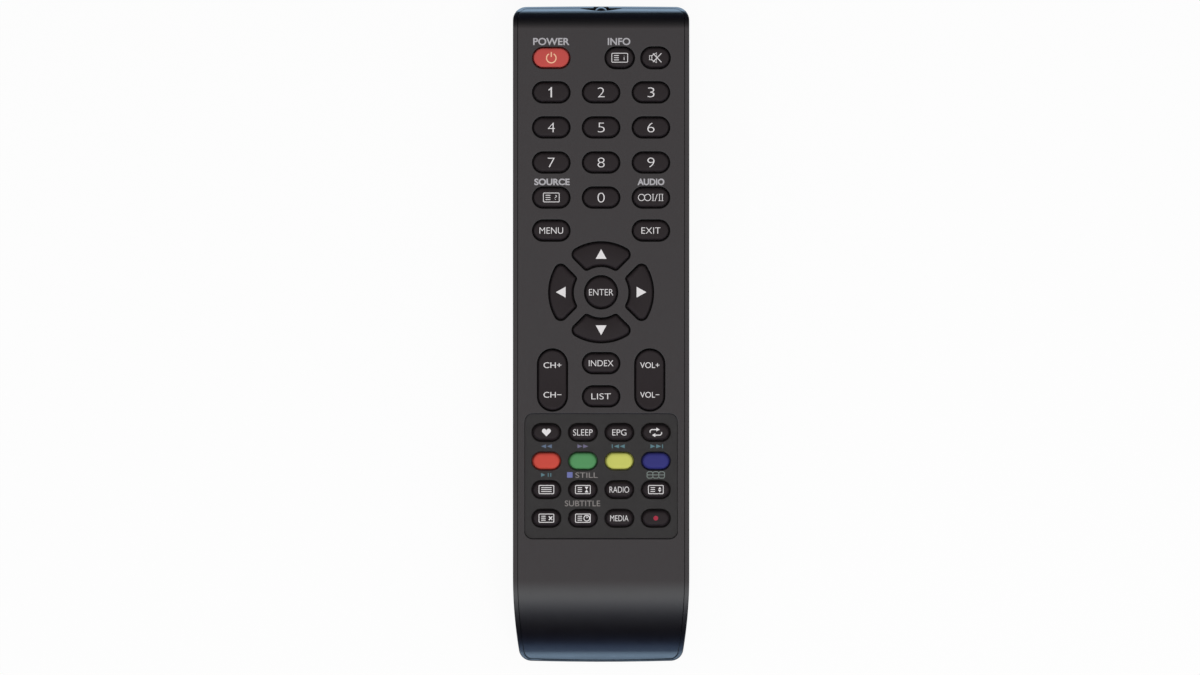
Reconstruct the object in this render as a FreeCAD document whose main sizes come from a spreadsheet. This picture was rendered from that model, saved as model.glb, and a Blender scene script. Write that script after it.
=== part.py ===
import FreeCAD, Part
import math
import os
from dataclasses import dataclass

import Sketcher

# Handheld television remote control, in millimetres.
# The origin is at the middle of the underside. X runs to the right and Y towards the head
# (the end with the infrared emitter) when the key face is seen from above, and Z is up.
# The lower case is a tub whose rim comes up to the key face, and the upper case nests in it.
# Between them lie, from below, the two cells, the circuit board, the keypad mat and the keys.

SIZES = (
    ("body_length", 195.0, "length from the tail end to the head end"),
    ("body_width", 52.4, "width across the straight sides"),
    ("face_height", 21.2, "height of the key face above the underside"),
    ("head_bow", 0.15, "how far the head end bows out"),
    ("tail_bow", 0.35, "how far the tail end bows out"),
    ("head_corner", 4.0, "radius of the head corners in plan"),
    ("tail_corner", 3.8, "radius of the tail corners in plan"),
    ("tail_narrowing", 1.65, "how far each side curves in at the tail"),
    ("tail_narrowing_length", 21.4, "length over which the sides curve in"),
    ("tail_narrowing_start", 25.6, "distance from the tail end at which the sides start to curve in"),
    ("head_roll", 6.0, "radius of the key face where it turns down at the head"),
    ("head_roll_length", 6.7, "distance from the head end at which the face turns down"),
    ("head_roll_angle", 75.0, "angle through which the face turns down at the head, in degrees"),
    ("tail_roll_share", 0.663, "share of the plain face behind the lower panel that turns down"),
    ("tail_roll_angle", 54.4, "angle through which the face turns down at the tail, in degrees"),
    ("side_round", 8.0, "radius of the long lower edges"),
    ("tail_round", 6.0, "radius of the lower edge at the tail"),
    ("head_rise", 4.0, "how far the underside rises at the head end"),
    ("rise_length", 77.5, "length over which the underside rises"),
    ("wall", 1.8, "wall of both cases"),
    ("rim_side", 1.35, "thickness of the tub's rim along the sides"),
    ("rim_end", 0.5, "thickness of the tub's rim across the two ends"),
    ("fit_gap", 0.1, "gap between the nested cases"),
    ("seat_height", 7.0, "height of the ledge that carries the upper case"),
    ("cavity_shelf", 5.0, "height of the shelf over the rounded lower edges"),
    ("shelf_width", 3.75, "width of that shelf"),
    ("key_gap", 0.35, "gap between a key and its opening"),
    ("key_proud", 1.1, "how far a key stands above the face"),
    ("key_travel", 1.0, "stroke of a key"),
    ("plate_margin", 0.9, "how far a key's retaining plate reaches past its cap"),
    ("enter_plate_margin", 0.6, "the same for the round key, which has less room"),
    ("plate_clear", 0.3, "gap above a retaining plate"),
    ("travel_spare", 0.1, "gap left between a pressed key and the mat"),
    ("rocker_clear", 0.9, "gap above a rocker's plate, which lets it tilt"),
    ("column_web", 3.65, "width of the face between two openings of a row of number keys"),
    ("wide_opening_depth", 6.25, "depth of the openings of the number keys"),
    ("short_opening_width", 8.75, "width of the two short openings in the first row"),
    ("short_opening_depth", 6.45, "depth of the two short openings in the first row"),
    ("panel_web", 2.24, "width of the panel between two openings of a row"),
    ("panel_opening_depth", 5.35, "depth of the openings in the lower panel"),
    ("rocker_opening_width", 8.95, "width of the two rocker openings"),
    ("rocker_opening_length", 18.45, "length of the two rocker openings"),
    ("enter_opening", 9.85, "diameter of the round opening"),
    ("arrow_inner", 7.7, "inner radius of the arrow openings"),
    ("arrow_outer", 15.0, "outer radius of the arrow openings"),
    ("arrow_side", 1.3, "distance of an arrow opening's sides from the diagonals of the pad"),
    ("side_arrow_trim", 0.3, "how much further off them the left and right arrows' sides are"),
    ("arrow_corner", 1.9, "radius of the outer corners of an arrow opening"),
    ("arrow_inner_corner", 1.0, "radius of the inner corners of an arrow opening"),
    ("arrow_shift", 0.6, "how much further out the left and right arrow keys stand"),
    ("arrow_plate_low", 1.6, "how far an arrow key's plate reaches inside its inner radius"),
    ("arrow_plate_narrowing", 5.7, "how much less than the outer radius the plate's half width is"),
    ("arrow_plate_cut", 2.1, "how far the plate's outer corners are cut off across its width"),
    ("arrow_plate_cut_length", 3.3, "how far the plate's outer corners are cut off along its length"),
    ("column_margin", 11.4, "distance of the outer columns from the sides of the case"),
    ("row_pitch", 10.42, "distance between the rows of number keys"),
    ("first_row", 15.35, "distance of the first row from the head end"),
    ("mute_shift", 1.37, "how much further out than its column the first row's last key stands"),
    ("short_pitch", 10.64, "distance between the two short keys of the first row"),
    ("number_row", 25.6, "distance of the first row of number keys from the head end"),
    ("menu_row", 66.67, "distance of the two keys above the arrow pad from the head end"),
    ("pad_place", 85.0, "distance of the middle of the arrow pad from the head end"),
    ("rocker_shift", 0.35, "how much further in than their columns the rockers stand"),
    ("rocker_place", 111.07, "distance of the middle of the rockers from the head end"),
    ("index_place", 106.08, "distance of the upper key between the rockers from the head end"),
    ("list_place", 115.93, "distance of the lower key between the rockers from the head end"),
    ("panel_margin", 3.5, "distance of the lower panel from the sides of the case"),
    ("panel_length", 37.0, "length of the lower panel"),
    ("panel_corner", 2.4, "corner radius of the lower panel"),
    ("panel_depth", 0.6, "how deep the lower panel is let in"),
    ("panel_place", 139.7, "distance of the middle of the lower panel from the head end"),
    ("panel_keys_shift", 0.3, "how much nearer to the head than the panel its keys stand"),
    ("panel_edge", 1.02, "what the panel's four columns leave free at each of its sides"),
    ("panel_row_pitch", 8.5, "distance between the panel's rows"),
    ("tab_place", 37.5, "distance of the outer pairs of locating tabs from the ends of the case"),
    ("tab_pairs", 3, "number of pairs of locating tabs"),
    ("tab_length", 8.0, "length of a locating tab"),
    ("tab_thickness", 1.2, "thickness of a locating tab"),
    ("tab_drop", 1.6, "how far a locating tab reaches below the ledge"),
    ("board_bottom", 14.5, "height of the circuit board's underside"),
    ("board_thickness", 1.2, "thickness of the circuit board"),
    ("board_margin", 4.3, "distance of the circuit board from the sides of the case"),
    ("board_place", 9.5, "distance of the circuit board from the head end"),
    ("board_length", 150.0, "length of the circuit board"),
    ("mat_thickness", 0.7, "thickness of the keypad mat"),
    ("mat_inset", 1.5, "how far the mat's ends lie inside the board's"),
    ("mat_hole_gap", 0.3, "gap between the mat and the screw boss"),
    ("post_radius", 2.8, "radius of the tub's screw posts"),
    ("boss_radius", 2.6, "radius of the upper case's screw bosses"),
    ("screw_radius", 1.25, "radius of the case screws"),
    ("screw_gap", 0.1, "gap round the case screws"),
    ("screw_head_radius", 2.3, "radius of the screw heads"),
    ("screw_head_height", 1.7, "height of the screw heads"),
    ("screw_recess_radius", 2.6, "radius of the recesses for the screw heads"),
    ("screw_recess", 5.0, "depth of the recesses for the screw heads"),
    ("screw_reach", 2.6, "how far a screw reaches into its boss"),
    ("screw_place", 65.1, "distance of the case screw from the head end"),
    ("cell_radius", 5.25, "radius of a cell"),
    ("cell_length", 43.7, "length of a cell without its nub"),
    ("cell_nub_radius", 1.9, "radius of a cell's nub"),
    ("cell_nub", 0.8, "length of a cell's nub"),
    ("cell_spacing", 11.2, "distance between the axes of the two cells"),
    ("cell_clear", 0.3, "gap between the cells and the bay round them"),
    ("bay_wall", 1.2, "wall of the battery bay"),
    ("bay_share", 0.6564, "distance of the bay's head wall from the head end, as a share of the length"),
    ("rib_drop", 1.75, "how far the rib between the cells hangs down from the bay's roof"),
    ("spring_length", 4.6, "length of a pressed contact tongue"),
    ("strip_thickness", 0.4, "thickness of the contact strips"),
    ("strip_width", 8.0, "width of a contact strip"),
    ("tongue_foot", 3.7, "distance of a sprung tongue's foot below the cells' axes"),
    ("tongue_bend", 0.3, "distance of a sprung tongue's bend above the cells' axes"),
    ("tongue_end", 3.1, "distance of a sprung tongue's end above the cells' axes"),
    ("contact_touch", 0.05, "gap between a cell and its contacts"),
    ("tab_width", 3.0, "width of the tabs that reach up to the board"),
    ("cover_thickness", 1.8, "thickness of the battery cover"),
    ("cover_width", 28.6, "width of the battery cover"),
    ("cover_lap", 3.0, "how far the battery cover reaches past the bay's head wall"),
    ("cover_gap", 0.2, "gap round the battery cover"),
    ("tongue_width", 1.0, "how far the cover's side tongues reach out"),
    ("tongue_height", 0.9, "thickness of the cover's side tongues"),
    ("bead_height", 0.15, "height of the cover's catch bead"),
    ("bead_length", 8.0, "length of the cover's catch bead"),
    ("notch_gap", 0.3, "gap round the bead in its notch"),
    ("hollow_tail", 4.5, "distance of the tub's lower hollow from the tail end"),
    ("track_floor_tail", 3.0, "distance of the floor over the cover's track from the tail end"),
    ("grip_depth", 0.4, "depth of the cover's grip grooves"),
    ("grip_length", 13.0, "length of the cover's grip grooves"),
    ("grip_width", 0.95, "width of a grip groove"),
    ("grip_start", 7.6, "distance of the first grip groove from the cover's head edge"),
    ("grip_pitch", 1.9, "distance between the cover's grip grooves"),
    ("grip_count", 6, "number of the cover's grip grooves"),
    ("emitter_radius", 2.0, "radius of the infrared emitter"),
    ("emitter_dome_radius", 2.3, "radius of the emitter's dome"),
    ("emitter_collar", 0.5, "how far the emitter's collar stands out, and the width of its legs"),
    ("emitter_inset", 0.15, "how far the emitter's dome stays inside the head end"),
    ("emitter_height", 15.1, "height of the emitter's axis"),
    ("emitter_gap", 0.3, "gap round the emitter's dome in the tub's rim"),
    ("chip_x", -3.0, "place of the controller chip across the board"),
    ("chip_place", 41.5, "distance of the controller chip and the resonator from the head end"),
    ("chip_length", 12.8, "length of the controller chip"),
    ("chip_width", 7.5, "width of the controller chip"),
    ("chip_height", 2.3, "height of the controller chip"),
    ("resonator_x", 9.5, "place of the ceramic resonator across the board"),
    ("resonator_length", 7.5, "length of the ceramic resonator"),
    ("resonator_width", 3.0, "width of the ceramic resonator"),
    ("resonator_height", 4.5, "height of the ceramic resonator"),
    ("capacitor_x", -8.0, "place of the filter capacitor across the board"),
    ("capacitor_place", 12.5, "distance of the filter capacitor from the bay's head wall"),
    ("capacitor_radius", 2.5, "radius of the filter capacitor"),
    ("capacitor_height", 7.0, "height of the filter capacitor"),
    ("slot_width", 14.0, "width of the emitter's slot"),
    ("slot_height", 5.8, "height of the emitter's slot in the middle"),
    ("slot_depth", 5.0, "depth of the emitter's slot"),
)

doc = FreeCAD.newDocument("remote_control")
sheet = doc.addObject("Spreadsheet::Sheet", "Sizes")
for row, (alias, amount, meaning) in enumerate(SIZES, start=1):
    sheet.set(f"A{row}", meaning)
    sheet.set(f"B{row}", str(amount))
    sheet.setAlias(f"B{row}", alias)
doc.recompute()

PLATE_TOP = "(Sizes.face_height - Sizes.wall - Sizes.plate_clear)"
ROCKER_TOP = "(Sizes.face_height - Sizes.wall - Sizes.rocker_clear)"
BOARD_TOP = "(Sizes.board_bottom + Sizes.board_thickness)"
MAT_TOP = f"({BOARD_TOP} + Sizes.mat_thickness)"
PLATE_LOW = f"({MAT_TOP} + Sizes.key_travel + Sizes.travel_spare)"
HALF_LENGTH = "(Sizes.body_length / 2)"
COLUMN_PITCH = "(Sizes.body_width / 2 - Sizes.column_margin)"
WIDE_WIDTH = f"({COLUMN_PITCH} - Sizes.column_web)"
FIRST_ROW_Y = f"({HALF_LENGTH} - Sizes.first_row)"
MUTE_X = f"({COLUMN_PITCH} + Sizes.mute_shift)"
INFO_X = f"({MUTE_X} - Sizes.short_pitch)"
NUMBER_ROW_Y = f"({HALF_LENGTH} - Sizes.number_row)"
MENU_ROW_Y = f"({HALF_LENGTH} - Sizes.menu_row)"
PAD_Y = f"({HALF_LENGTH} - Sizes.pad_place)"
ROCKER_X = f"({COLUMN_PITCH} - Sizes.rocker_shift)"
ROCKER_Y = f"({HALF_LENGTH} - Sizes.rocker_place)"
INDEX_Y = f"({HALF_LENGTH} - Sizes.index_place)"
LIST_Y = f"({HALF_LENGTH} - Sizes.list_place)"
PANEL_Y = f"({HALF_LENGTH} - Sizes.panel_place)"
PANEL_WIDTH = "(Sizes.body_width - 2 * Sizes.panel_margin)"
PANEL_PITCH = f"(({PANEL_WIDTH} - 2 * Sizes.panel_edge) / 4)"
PANEL_KEY_WIDTH = f"({PANEL_PITCH} - Sizes.panel_web)"
PLAIN_TAIL = f"({PANEL_Y} - Sizes.panel_length / 2 + {HALF_LENGTH})"
ROLL_LENGTH = f"({PLAIN_TAIL} * Sizes.tail_roll_share)"
TAB_PLACE_Y = f"({HALF_LENGTH} - Sizes.tab_place)"
SCREW_Y = f"({HALF_LENGTH} - Sizes.screw_place)"
BOARD_HEAD = f"({HALF_LENGTH} - Sizes.board_place)"
BOARD_MIDDLE = f"({BOARD_HEAD} - Sizes.board_length / 2)"
BOARD_WIDTH = "(Sizes.body_width - 2 * Sizes.board_margin)"
CHIP_Y = f"({HALF_LENGTH} - Sizes.chip_place)"
CELL_HEIGHT = "(Sizes.cover_thickness + Sizes.cell_clear + Sizes.cell_radius)"
BAY_HALF_WIDTH = "(Sizes.cell_spacing / 2 + Sizes.cell_radius + Sizes.cell_clear)"
BAY_ROOF = f"({CELL_HEIGHT} + Sizes.cell_radius + Sizes.cell_clear)"
BAY_LENGTH = (
    "(Sizes.cell_length + Sizes.cell_nub + Sizes.spring_length"
    " + 2 * Sizes.strip_thickness + 2 * Sizes.contact_touch)"
)
BAY_HEAD = f"({HALF_LENGTH} - Sizes.bay_share * Sizes.body_length)"
BAY_MIDDLE = f"({BAY_HEAD} - {BAY_LENGTH} / 2)"
CAPACITOR_Y = f"({BAY_HEAD} + Sizes.capacitor_place)"
TAB_DEPTH = "Sizes.strip_thickness"
TAB_Y = f"({BAY_HEAD} - {TAB_DEPTH} / 2)"
COVER_HEAD = f"({BAY_HEAD} + Sizes.cover_lap)"
BEAD_Y = f"({COVER_HEAD} - Sizes.wall / 2)"
TRACK_HEAD = f"({COVER_HEAD} + Sizes.cover_gap)"
GROOVE_WIDTH = "(Sizes.cover_width + 2 * Sizes.tongue_width + 2 * Sizes.cover_gap)"
CUT_SPARE = 2.0


def number(expression):
    """Work out an expression on the sheet's values."""
    return float(sheet.evalExpression(expression))


def new_body(name, x=None, y=None, turn=0.0):
    """Start a sub-part, placed at x and y and turned about the vertical."""
    body = doc.addObject("PartDesign::Body", name)
    body.Label = name
    body.Placement = FreeCAD.Placement(
        FreeCAD.Vector(0, 0, 0), FreeCAD.Rotation(FreeCAD.Vector(0, 0, 1), turn)
    )
    for axis, expression in (("x", x), ("y", y)):
        if expression is not None:
            body.setExpression(f"Placement.Base.{axis}", expression)
    return body


def new_sketch(body, name, role="XY_Plane", level=None, x=None, y=None, turn=0.0):
    """Start a sketch on one of the body's own planes, moved to x and y and raised to level."""
    sketch = body.newObject("Sketcher::SketchObject", name)
    plane = next(item for item in body.Origin.OriginFeatures if item.Role == role)
    sketch.AttachmentSupport = [(plane, "")]
    sketch.MapMode = "FlatFace"
    sketch.AttachmentOffset = FreeCAD.Placement(
        FreeCAD.Vector(0, 0, 0), FreeCAD.Rotation(FreeCAD.Vector(0, 0, 1), turn)
    )
    for axis, expression in (("x", x), ("y", y), ("z", level)):
        if expression is not None:
            sketch.setExpression(f"AttachmentOffset.Base.{axis}", expression)
    return sketch


def drive(sketch, constraint, name, expression):
    """Add a named dimension whose value follows the sheet."""
    index = sketch.addConstraint(constraint)
    sketch.renameConstraint(index, name)
    sketch.setExpression(f"Constraints.{name}", expression)


def line(start, end):
    """Give a straight edge between two points of a sketch."""
    return Part.LineSegment(FreeCAD.Vector(*start, 0), FreeCAD.Vector(*end, 0))


def arc(center, radius, start, end):
    """Give the arc about a centre that runs anticlockwise from one point's bearing to another's."""
    first = math.atan2(start[1] - center[1], start[0] - center[0])
    last = math.atan2(end[1] - center[1], end[0] - center[0])
    circle = Part.Circle(FreeCAD.Vector(*center, 0), FreeCAD.Vector(0, 0, 1), radius)
    return Part.ArcOfCircle(circle, first, last)


def add_rectangle(sketch, width, depth):
    """Draw a rectangle about the sketch's origin."""
    x = number(width) / 2
    y = number(depth) / 2
    corners = ((-x, -y), (x, -y), (x, y), (-x, y))
    for side in range(4):
        sketch.addGeometry(line(corners[side], corners[(side + 1) % 4]), False)
    rules = [Sketcher.Constraint("Coincident", side, 2, (side + 1) % 4, 1) for side in range(4)]
    rules += [Sketcher.Constraint("Horizontal", 0), Sketcher.Constraint("Horizontal", 2)]
    rules += [Sketcher.Constraint("Vertical", 1), Sketcher.Constraint("Vertical", 3)]
    rules += [Sketcher.Constraint("Symmetric", 0, 1, 2, 1, -1, 1)]
    sketch.addConstraint(rules)
    drive(sketch, Sketcher.Constraint("DistanceX", 0, 1, 0, 2, 2 * x), "width", width)
    drive(sketch, Sketcher.Constraint("DistanceY", 1, 1, 1, 2, 2 * y), "depth", depth)


def add_circle(sketch, radius):
    """Draw a circle about the sketch's origin."""
    center = FreeCAD.Vector(0, 0, 0)
    sketch.addGeometry(Part.Circle(center, FreeCAD.Vector(0, 0, 1), number(radius)), False)
    sketch.addConstraint(Sketcher.Constraint("Coincident", 0, 3, -1, 1))
    drive(sketch, Sketcher.Constraint("Radius", 0, number(radius)), "radius", radius)


def add_pill(sketch, length, width):
    """Draw a slot with round ends about the sketch's origin, long along the sketch's first axis."""
    radius = number(width) / 2
    reach = number(length) / 2 - radius
    left = (-reach, 0)
    right = (reach, 0)
    sketch.addGeometry(line((-reach, radius), (reach, radius)), False)
    sketch.addGeometry(arc(right, radius, (reach, -radius), (reach, radius)), False)
    sketch.addGeometry(line((reach, -radius), (-reach, -radius)), False)
    circle = Part.Circle(FreeCAD.Vector(*left, 0), FreeCAD.Vector(0, 0, 1), radius)
    sketch.addGeometry(Part.ArcOfCircle(circle, math.pi / 2, 3 * math.pi / 2), False)
    sketch.addConstraint(
        [
            Sketcher.Constraint("Tangent", 0, 2, 1, 2),
            Sketcher.Constraint("Tangent", 1, 1, 2, 1),
            Sketcher.Constraint("Tangent", 2, 2, 3, 2),
            Sketcher.Constraint("Tangent", 3, 1, 0, 1),
            Sketcher.Constraint("Horizontal", 0),
            Sketcher.Constraint("Equal", 1, 3),
            Sketcher.Constraint("Symmetric", 1, 3, 3, 3, -1, 1),
        ]
    )
    span = Sketcher.Constraint("DistanceX", 3, 3, 1, 3, 2 * reach)
    drive(sketch, span, "span", f"{length} - ({width})")
    drive(sketch, Sketcher.Constraint("Radius", 1, radius), "end_radius", f"({width}) / 2")


def add_edges(sketch, edges):
    """Draw a closed outline whose points were worked out from the sheet's values."""
    for edge in edges:
        sketch.addGeometry(edge, False)


def polygon(points):
    """Give the straight edges of a closed outline."""
    return [line(points[index - 1], points[index]) for index in range(len(points))]


def pad(body, sketch, length, middle=False):
    """Raise a sketch into a solid, or grow it to both sides of its plane."""
    feature = body.newObject("PartDesign::Pad", f"{sketch.Name}_pad")
    feature.Profile = sketch
    feature.setExpression("Length", length)
    feature.Midplane = middle
    sketch.Visibility = False
    return feature


def pocket(body, sketch, length=None, upward=False, middle=False):
    """Cut a sketch out of the solid, right through where no length is given."""
    feature = body.newObject("PartDesign::Pocket", f"{sketch.Name}_cut")
    feature.Profile = sketch
    feature.Reversed = upward
    feature.Midplane = middle
    if length is None:
        feature.Type = "ThroughAll"
    else:
        feature.setExpression("Length", length)
    return feature


def circle_meeting(first, first_radius, second, second_radius):
    """Give the point with the larger x where two circles about first and second meet."""
    dx = second[0] - first[0]
    dy = second[1] - first[1]
    apart = math.hypot(dx, dy)
    along = (first_radius**2 - second_radius**2 + apart**2) / (2 * apart)
    aside = math.sqrt(first_radius**2 - along**2)
    middle = (first[0] + along * dx / apart, first[1] + along * dy / apart)
    meetings = [
        (middle[0] + side * aside * dy / apart, middle[1] - side * aside * dx / apart)
        for side in (1, -1)
    ]
    return max(meetings)


def towards(start, goal, distance):
    """Give the point at a distance from start in the direction of goal."""
    length = math.hypot(goal[0] - start[0], goal[1] - start[1])
    return (
        start[0] + (goal[0] - start[0]) / length * distance,
        start[1] + (goal[1] - start[1]) / length * distance,
    )


def mirrored(point):
    """Give a point's image on the other side of the middle line."""
    return (-point[0], point[1])


def plan_outline(side_inset, end_inset):
    """Give the case's outline in plan, drawn in by one amount at the sides and another at the ends.

    The two ends are shallow arcs and the sides are straight as far as the tail, where a large
    arc draws each of them in to a rounded corner.
    """
    half_width = sheet.body_width / 2
    half_length = sheet.body_length / 2
    corner_inset = (side_inset + end_inset) / 2
    chord = half_width - sheet.head_corner
    head_radius = (chord**2 + sheet.head_bow**2) / (2 * sheet.head_bow)
    tail_radius = (chord**2 + sheet.tail_bow**2) / (2 * sheet.tail_bow)
    head_center = (0.0, half_length - head_radius)
    tail_center = (0.0, tail_radius - half_length)
    run = sheet.tail_narrowing_length
    side_radius = (run**2 + sheet.tail_narrowing**2) / (2 * sheet.tail_narrowing)
    side_y = sheet.tail_narrowing_start - half_length
    side_center = (half_width - side_radius, side_y)
    head_corner = sheet.head_corner - corner_inset
    tail_corner = sheet.tail_corner - corner_inset
    side_x = half_width - side_inset
    head_radius -= end_inset
    tail_radius -= end_inset
    side_radius -= side_inset
    corner_x = side_x - head_corner
    corner_y = head_center[1] + math.sqrt((head_radius - head_corner) ** 2 - corner_x**2)
    head_corner_center = (corner_x, corner_y)
    tail_corner_center = circle_meeting(
        side_center, side_radius - tail_corner, tail_center, tail_radius - tail_corner
    )
    head_end = towards(head_center, head_corner_center, head_radius)
    side_head = (side_x, corner_y)
    side_tail = (side_x, side_y)
    tail_side = towards(side_center, tail_corner_center, side_radius)
    tail_end = towards(tail_center, tail_corner_center, tail_radius)
    left_head_center = mirrored(head_corner_center)
    left_tail_center = mirrored(tail_corner_center)
    return [
        arc(head_center, head_radius, head_end, mirrored(head_end)),
        arc(left_head_center, head_corner, mirrored(head_end), mirrored(side_head)),
        line(mirrored(side_head), mirrored(side_tail)),
        arc(mirrored(side_center), side_radius, mirrored(side_tail), mirrored(tail_side)),
        arc(left_tail_center, tail_corner, mirrored(tail_side), mirrored(tail_end)),
        arc(tail_center, tail_radius, mirrored(tail_end), tail_end),
        arc(tail_corner_center, tail_corner, tail_end, tail_side),
        arc(side_center, side_radius, tail_side, side_tail),
        line(side_tail, side_head),
        arc(head_corner_center, head_corner, side_head, head_end),
    ]


def roll_outlines(depth):
    """Give the two side-view outlines, head and tail, of what the rolled face leaves out.

    A depth gives the same for the surface that lies that far below the face.
    """
    top = sheet.face_height - depth
    half_length = sheet.body_length / 2
    angle = math.radians(sheet.head_roll_angle)
    head_start = half_length - sheet.head_roll_length
    head_radius = sheet.head_roll - depth
    center = (head_start, top - head_radius)
    turned = (
        center[0] + head_radius * math.sin(angle),
        center[1] + head_radius * math.cos(angle),
    )
    end = (half_length, turned[1] - (half_length - turned[0]) * math.tan(angle))
    outside = half_length + CUT_SPARE
    head = [arc(center, head_radius, turned, (head_start, top)), line(turned, end)]
    head += [line(end, (outside, end[1])), line((outside, end[1]), (outside, top + CUT_SPARE))]
    head += [line((outside, top + CUT_SPARE), (head_start, top + CUT_SPARE))]
    head += [line((head_start, top + CUT_SPARE), (head_start, top))]
    roll_length = number(ROLL_LENGTH)
    tail_start = roll_length - half_length
    tail_radius = roll_length / math.sin(math.radians(sheet.tail_roll_angle)) - depth
    center = (tail_start, top - tail_radius)
    end = (-half_length, center[1] + math.sqrt(tail_radius**2 - roll_length**2))
    tail = [arc(center, tail_radius, (tail_start, top), end)]
    tail += [line(end, (-outside, end[1])), line((-outside, end[1]), (-outside, top + CUT_SPARE))]
    tail += [line((-outside, top + CUT_SPARE), (tail_start, top + CUT_SPARE))]
    tail += [line((tail_start, top + CUT_SPARE), (tail_start, top))]
    return head + tail


def case_form(body, side_inset, end_inset, bottom, depth="0"):
    """Build the case's form from bottom up to the rolled face, or to a depth below it."""
    plan = new_sketch(body, f"{body.Name}_plan", level=bottom)
    add_edges(plan, plan_outline(side_inset, end_inset))
    pad(body, plan, f"Sizes.face_height - {depth} - ({bottom})")
    rolls = new_sketch(body, f"{body.Name}_rolls", role="YZ_Plane")
    add_edges(rolls, roll_outlines(number(depth)))
    pocket(body, rolls, middle=True)


def underside_outline():
    """Give the side-view outline of what lies below the underside."""
    half_length = sheet.body_length / 2
    low = -CUT_SPARE
    flat_tail = sheet.tail_round - half_length
    rise_start = half_length - sheet.rise_length
    center = (flat_tail, sheet.tail_round)
    tail_point = (-half_length, sheet.tail_round)
    edges = [arc(center, sheet.tail_round, tail_point, (flat_tail, 0.0))]
    points = [
        (flat_tail, 0.0),
        (rise_start, 0.0),
        (half_length + CUT_SPARE, sheet.head_rise * (1 + CUT_SPARE / sheet.rise_length)),
        (half_length + CUT_SPARE, low),
        (-half_length - CUT_SPARE, low),
        (-half_length - CUT_SPARE, sheet.tail_round),
        tail_point,
    ]
    return edges + [line(points[index], points[index + 1]) for index in range(len(points) - 1)]


def side_round_outlines():
    """Give the end-view outlines of what the rounded long edges leave out."""
    half_width = sheet.body_width / 2
    radius = sheet.side_round
    foot = half_width - radius
    outside = half_width + CUT_SPARE
    low = -CUT_SPARE
    right = [arc((foot, radius), radius, (foot, 0.0), (half_width, radius))]
    right += [line((half_width, radius), (outside, radius)), line((outside, radius), (outside, low))]
    right += [line((outside, low), (foot, low)), line((foot, low), (foot, 0.0))]
    left = [arc((-foot, radius), radius, (-half_width, radius), (-foot, 0.0))]
    left += [line((-half_width, radius), (-outside, radius))]
    left += [line((-outside, radius), (-outside, low)), line((-outside, low), (-foot, low))]
    left += [line((-foot, low), (-foot, 0.0))]
    return right + left


def sector_outline(grow, trim):
    """Give the outline of an arrow key that points along +Y from the middle of the pad.

    It is a ring sector whose sides run parallel to the pad's diagonals, with rounded corners.
    Its sides are drawn in by trim.
    """
    inner = sheet.arrow_inner - grow
    outer = sheet.arrow_outer + grow
    side = sheet.arrow_side + trim - grow
    outer_corner = sheet.arrow_corner + grow
    inner_corner = sheet.arrow_inner_corner + grow

    def corner_center(reach, corner):
        shift = (side + corner) * math.sqrt(2)
        x = (math.sqrt(2 * reach**2 - shift**2) - shift) / 2
        return (x, x + shift)

    def on_side(center, corner):
        return (center[0] + corner / math.sqrt(2), center[1] - corner / math.sqrt(2))

    middle = (0.0, 0.0)
    high = corner_center(outer - outer_corner, outer_corner)
    low = corner_center(inner + inner_corner, inner_corner)
    high_arc = towards(middle, high, outer)
    high_side = on_side(high, outer_corner)
    low_side = on_side(low, inner_corner)
    low_arc = towards(middle, low, inner)
    return [
        arc(middle, outer, high_arc, mirrored(high_arc)),
        arc(mirrored(high), outer_corner, mirrored(high_arc), mirrored(high_side)),
        line(mirrored(high_side), mirrored(low_side)),
        arc(mirrored(low), inner_corner, mirrored(low_side), mirrored(low_arc)),
        arc(middle, inner, low_arc, mirrored(low_arc)),
        arc(low, inner_corner, low_arc, low_side),
        line(low_side, high_side),
        arc(high, outer_corner, high_side, high_arc),
    ]


def sector_plate():
    """Give the corners of an arrow key's retaining plate, clear of the keys beside it."""
    margin = sheet.plate_margin - sheet.key_gap
    inset = (sheet.arrow_side - margin) * math.sqrt(2)
    low = sheet.arrow_inner - sheet.arrow_plate_low
    wide = sheet.arrow_outer - sheet.arrow_plate_narrowing
    high = sheet.arrow_outer + margin
    shoulder = high - sheet.arrow_plate_cut_length
    narrow = wide - sheet.arrow_plate_cut
    right = [(low - inset, low), (wide, wide + inset), (wide, shoulder), (narrow, high)]
    return right + [mirrored(point) for point in reversed(right)]


@dataclass
class Key:
    """One key: its node, the kind of opening it has, its place, and what an arrow's sides lose."""

    node: str
    kind: str
    x: str
    y: str
    turn: float = 0.0
    block: str = ""
    trim: str = "0"


@dataclass
class Kind:
    """A kind of key: the width and depth of its opening, as expressions."""

    width: str
    depth: str


KINDS = {
    "wide": Kind(WIDE_WIDTH, "Sizes.wide_opening_depth"),
    "short": Kind("Sizes.short_opening_width", "Sizes.short_opening_depth"),
    "panel": Kind(PANEL_KEY_WIDTH, "Sizes.panel_opening_depth"),
    "rocker": Kind("Sizes.rocker_opening_width", "Sizes.rocker_opening_length"),
    "enter": Kind("Sizes.enter_opening", "Sizes.enter_opening"),
    "arrow": Kind("Sizes.arrow_outer", "Sizes.arrow_outer"),
}

NUMBER_KEYS = (
    ("key_one", "key_two", "key_three"),
    ("key_four", "key_five", "key_six"),
    ("key_seven", "key_eight", "key_nine"),
    ("key_source", "key_zero", "key_audio"),
)
PANEL_KEYS = (
    ("key_favourite", "key_sleep", "key_guide", "key_repeat"),
    ("key_red", "key_green", "key_yellow", "key_blue"),
    ("key_page", "key_hold", "key_radio", "key_magnify"),
    ("key_cancel", "key_clock", "key_media", "key_record"),
)


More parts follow.
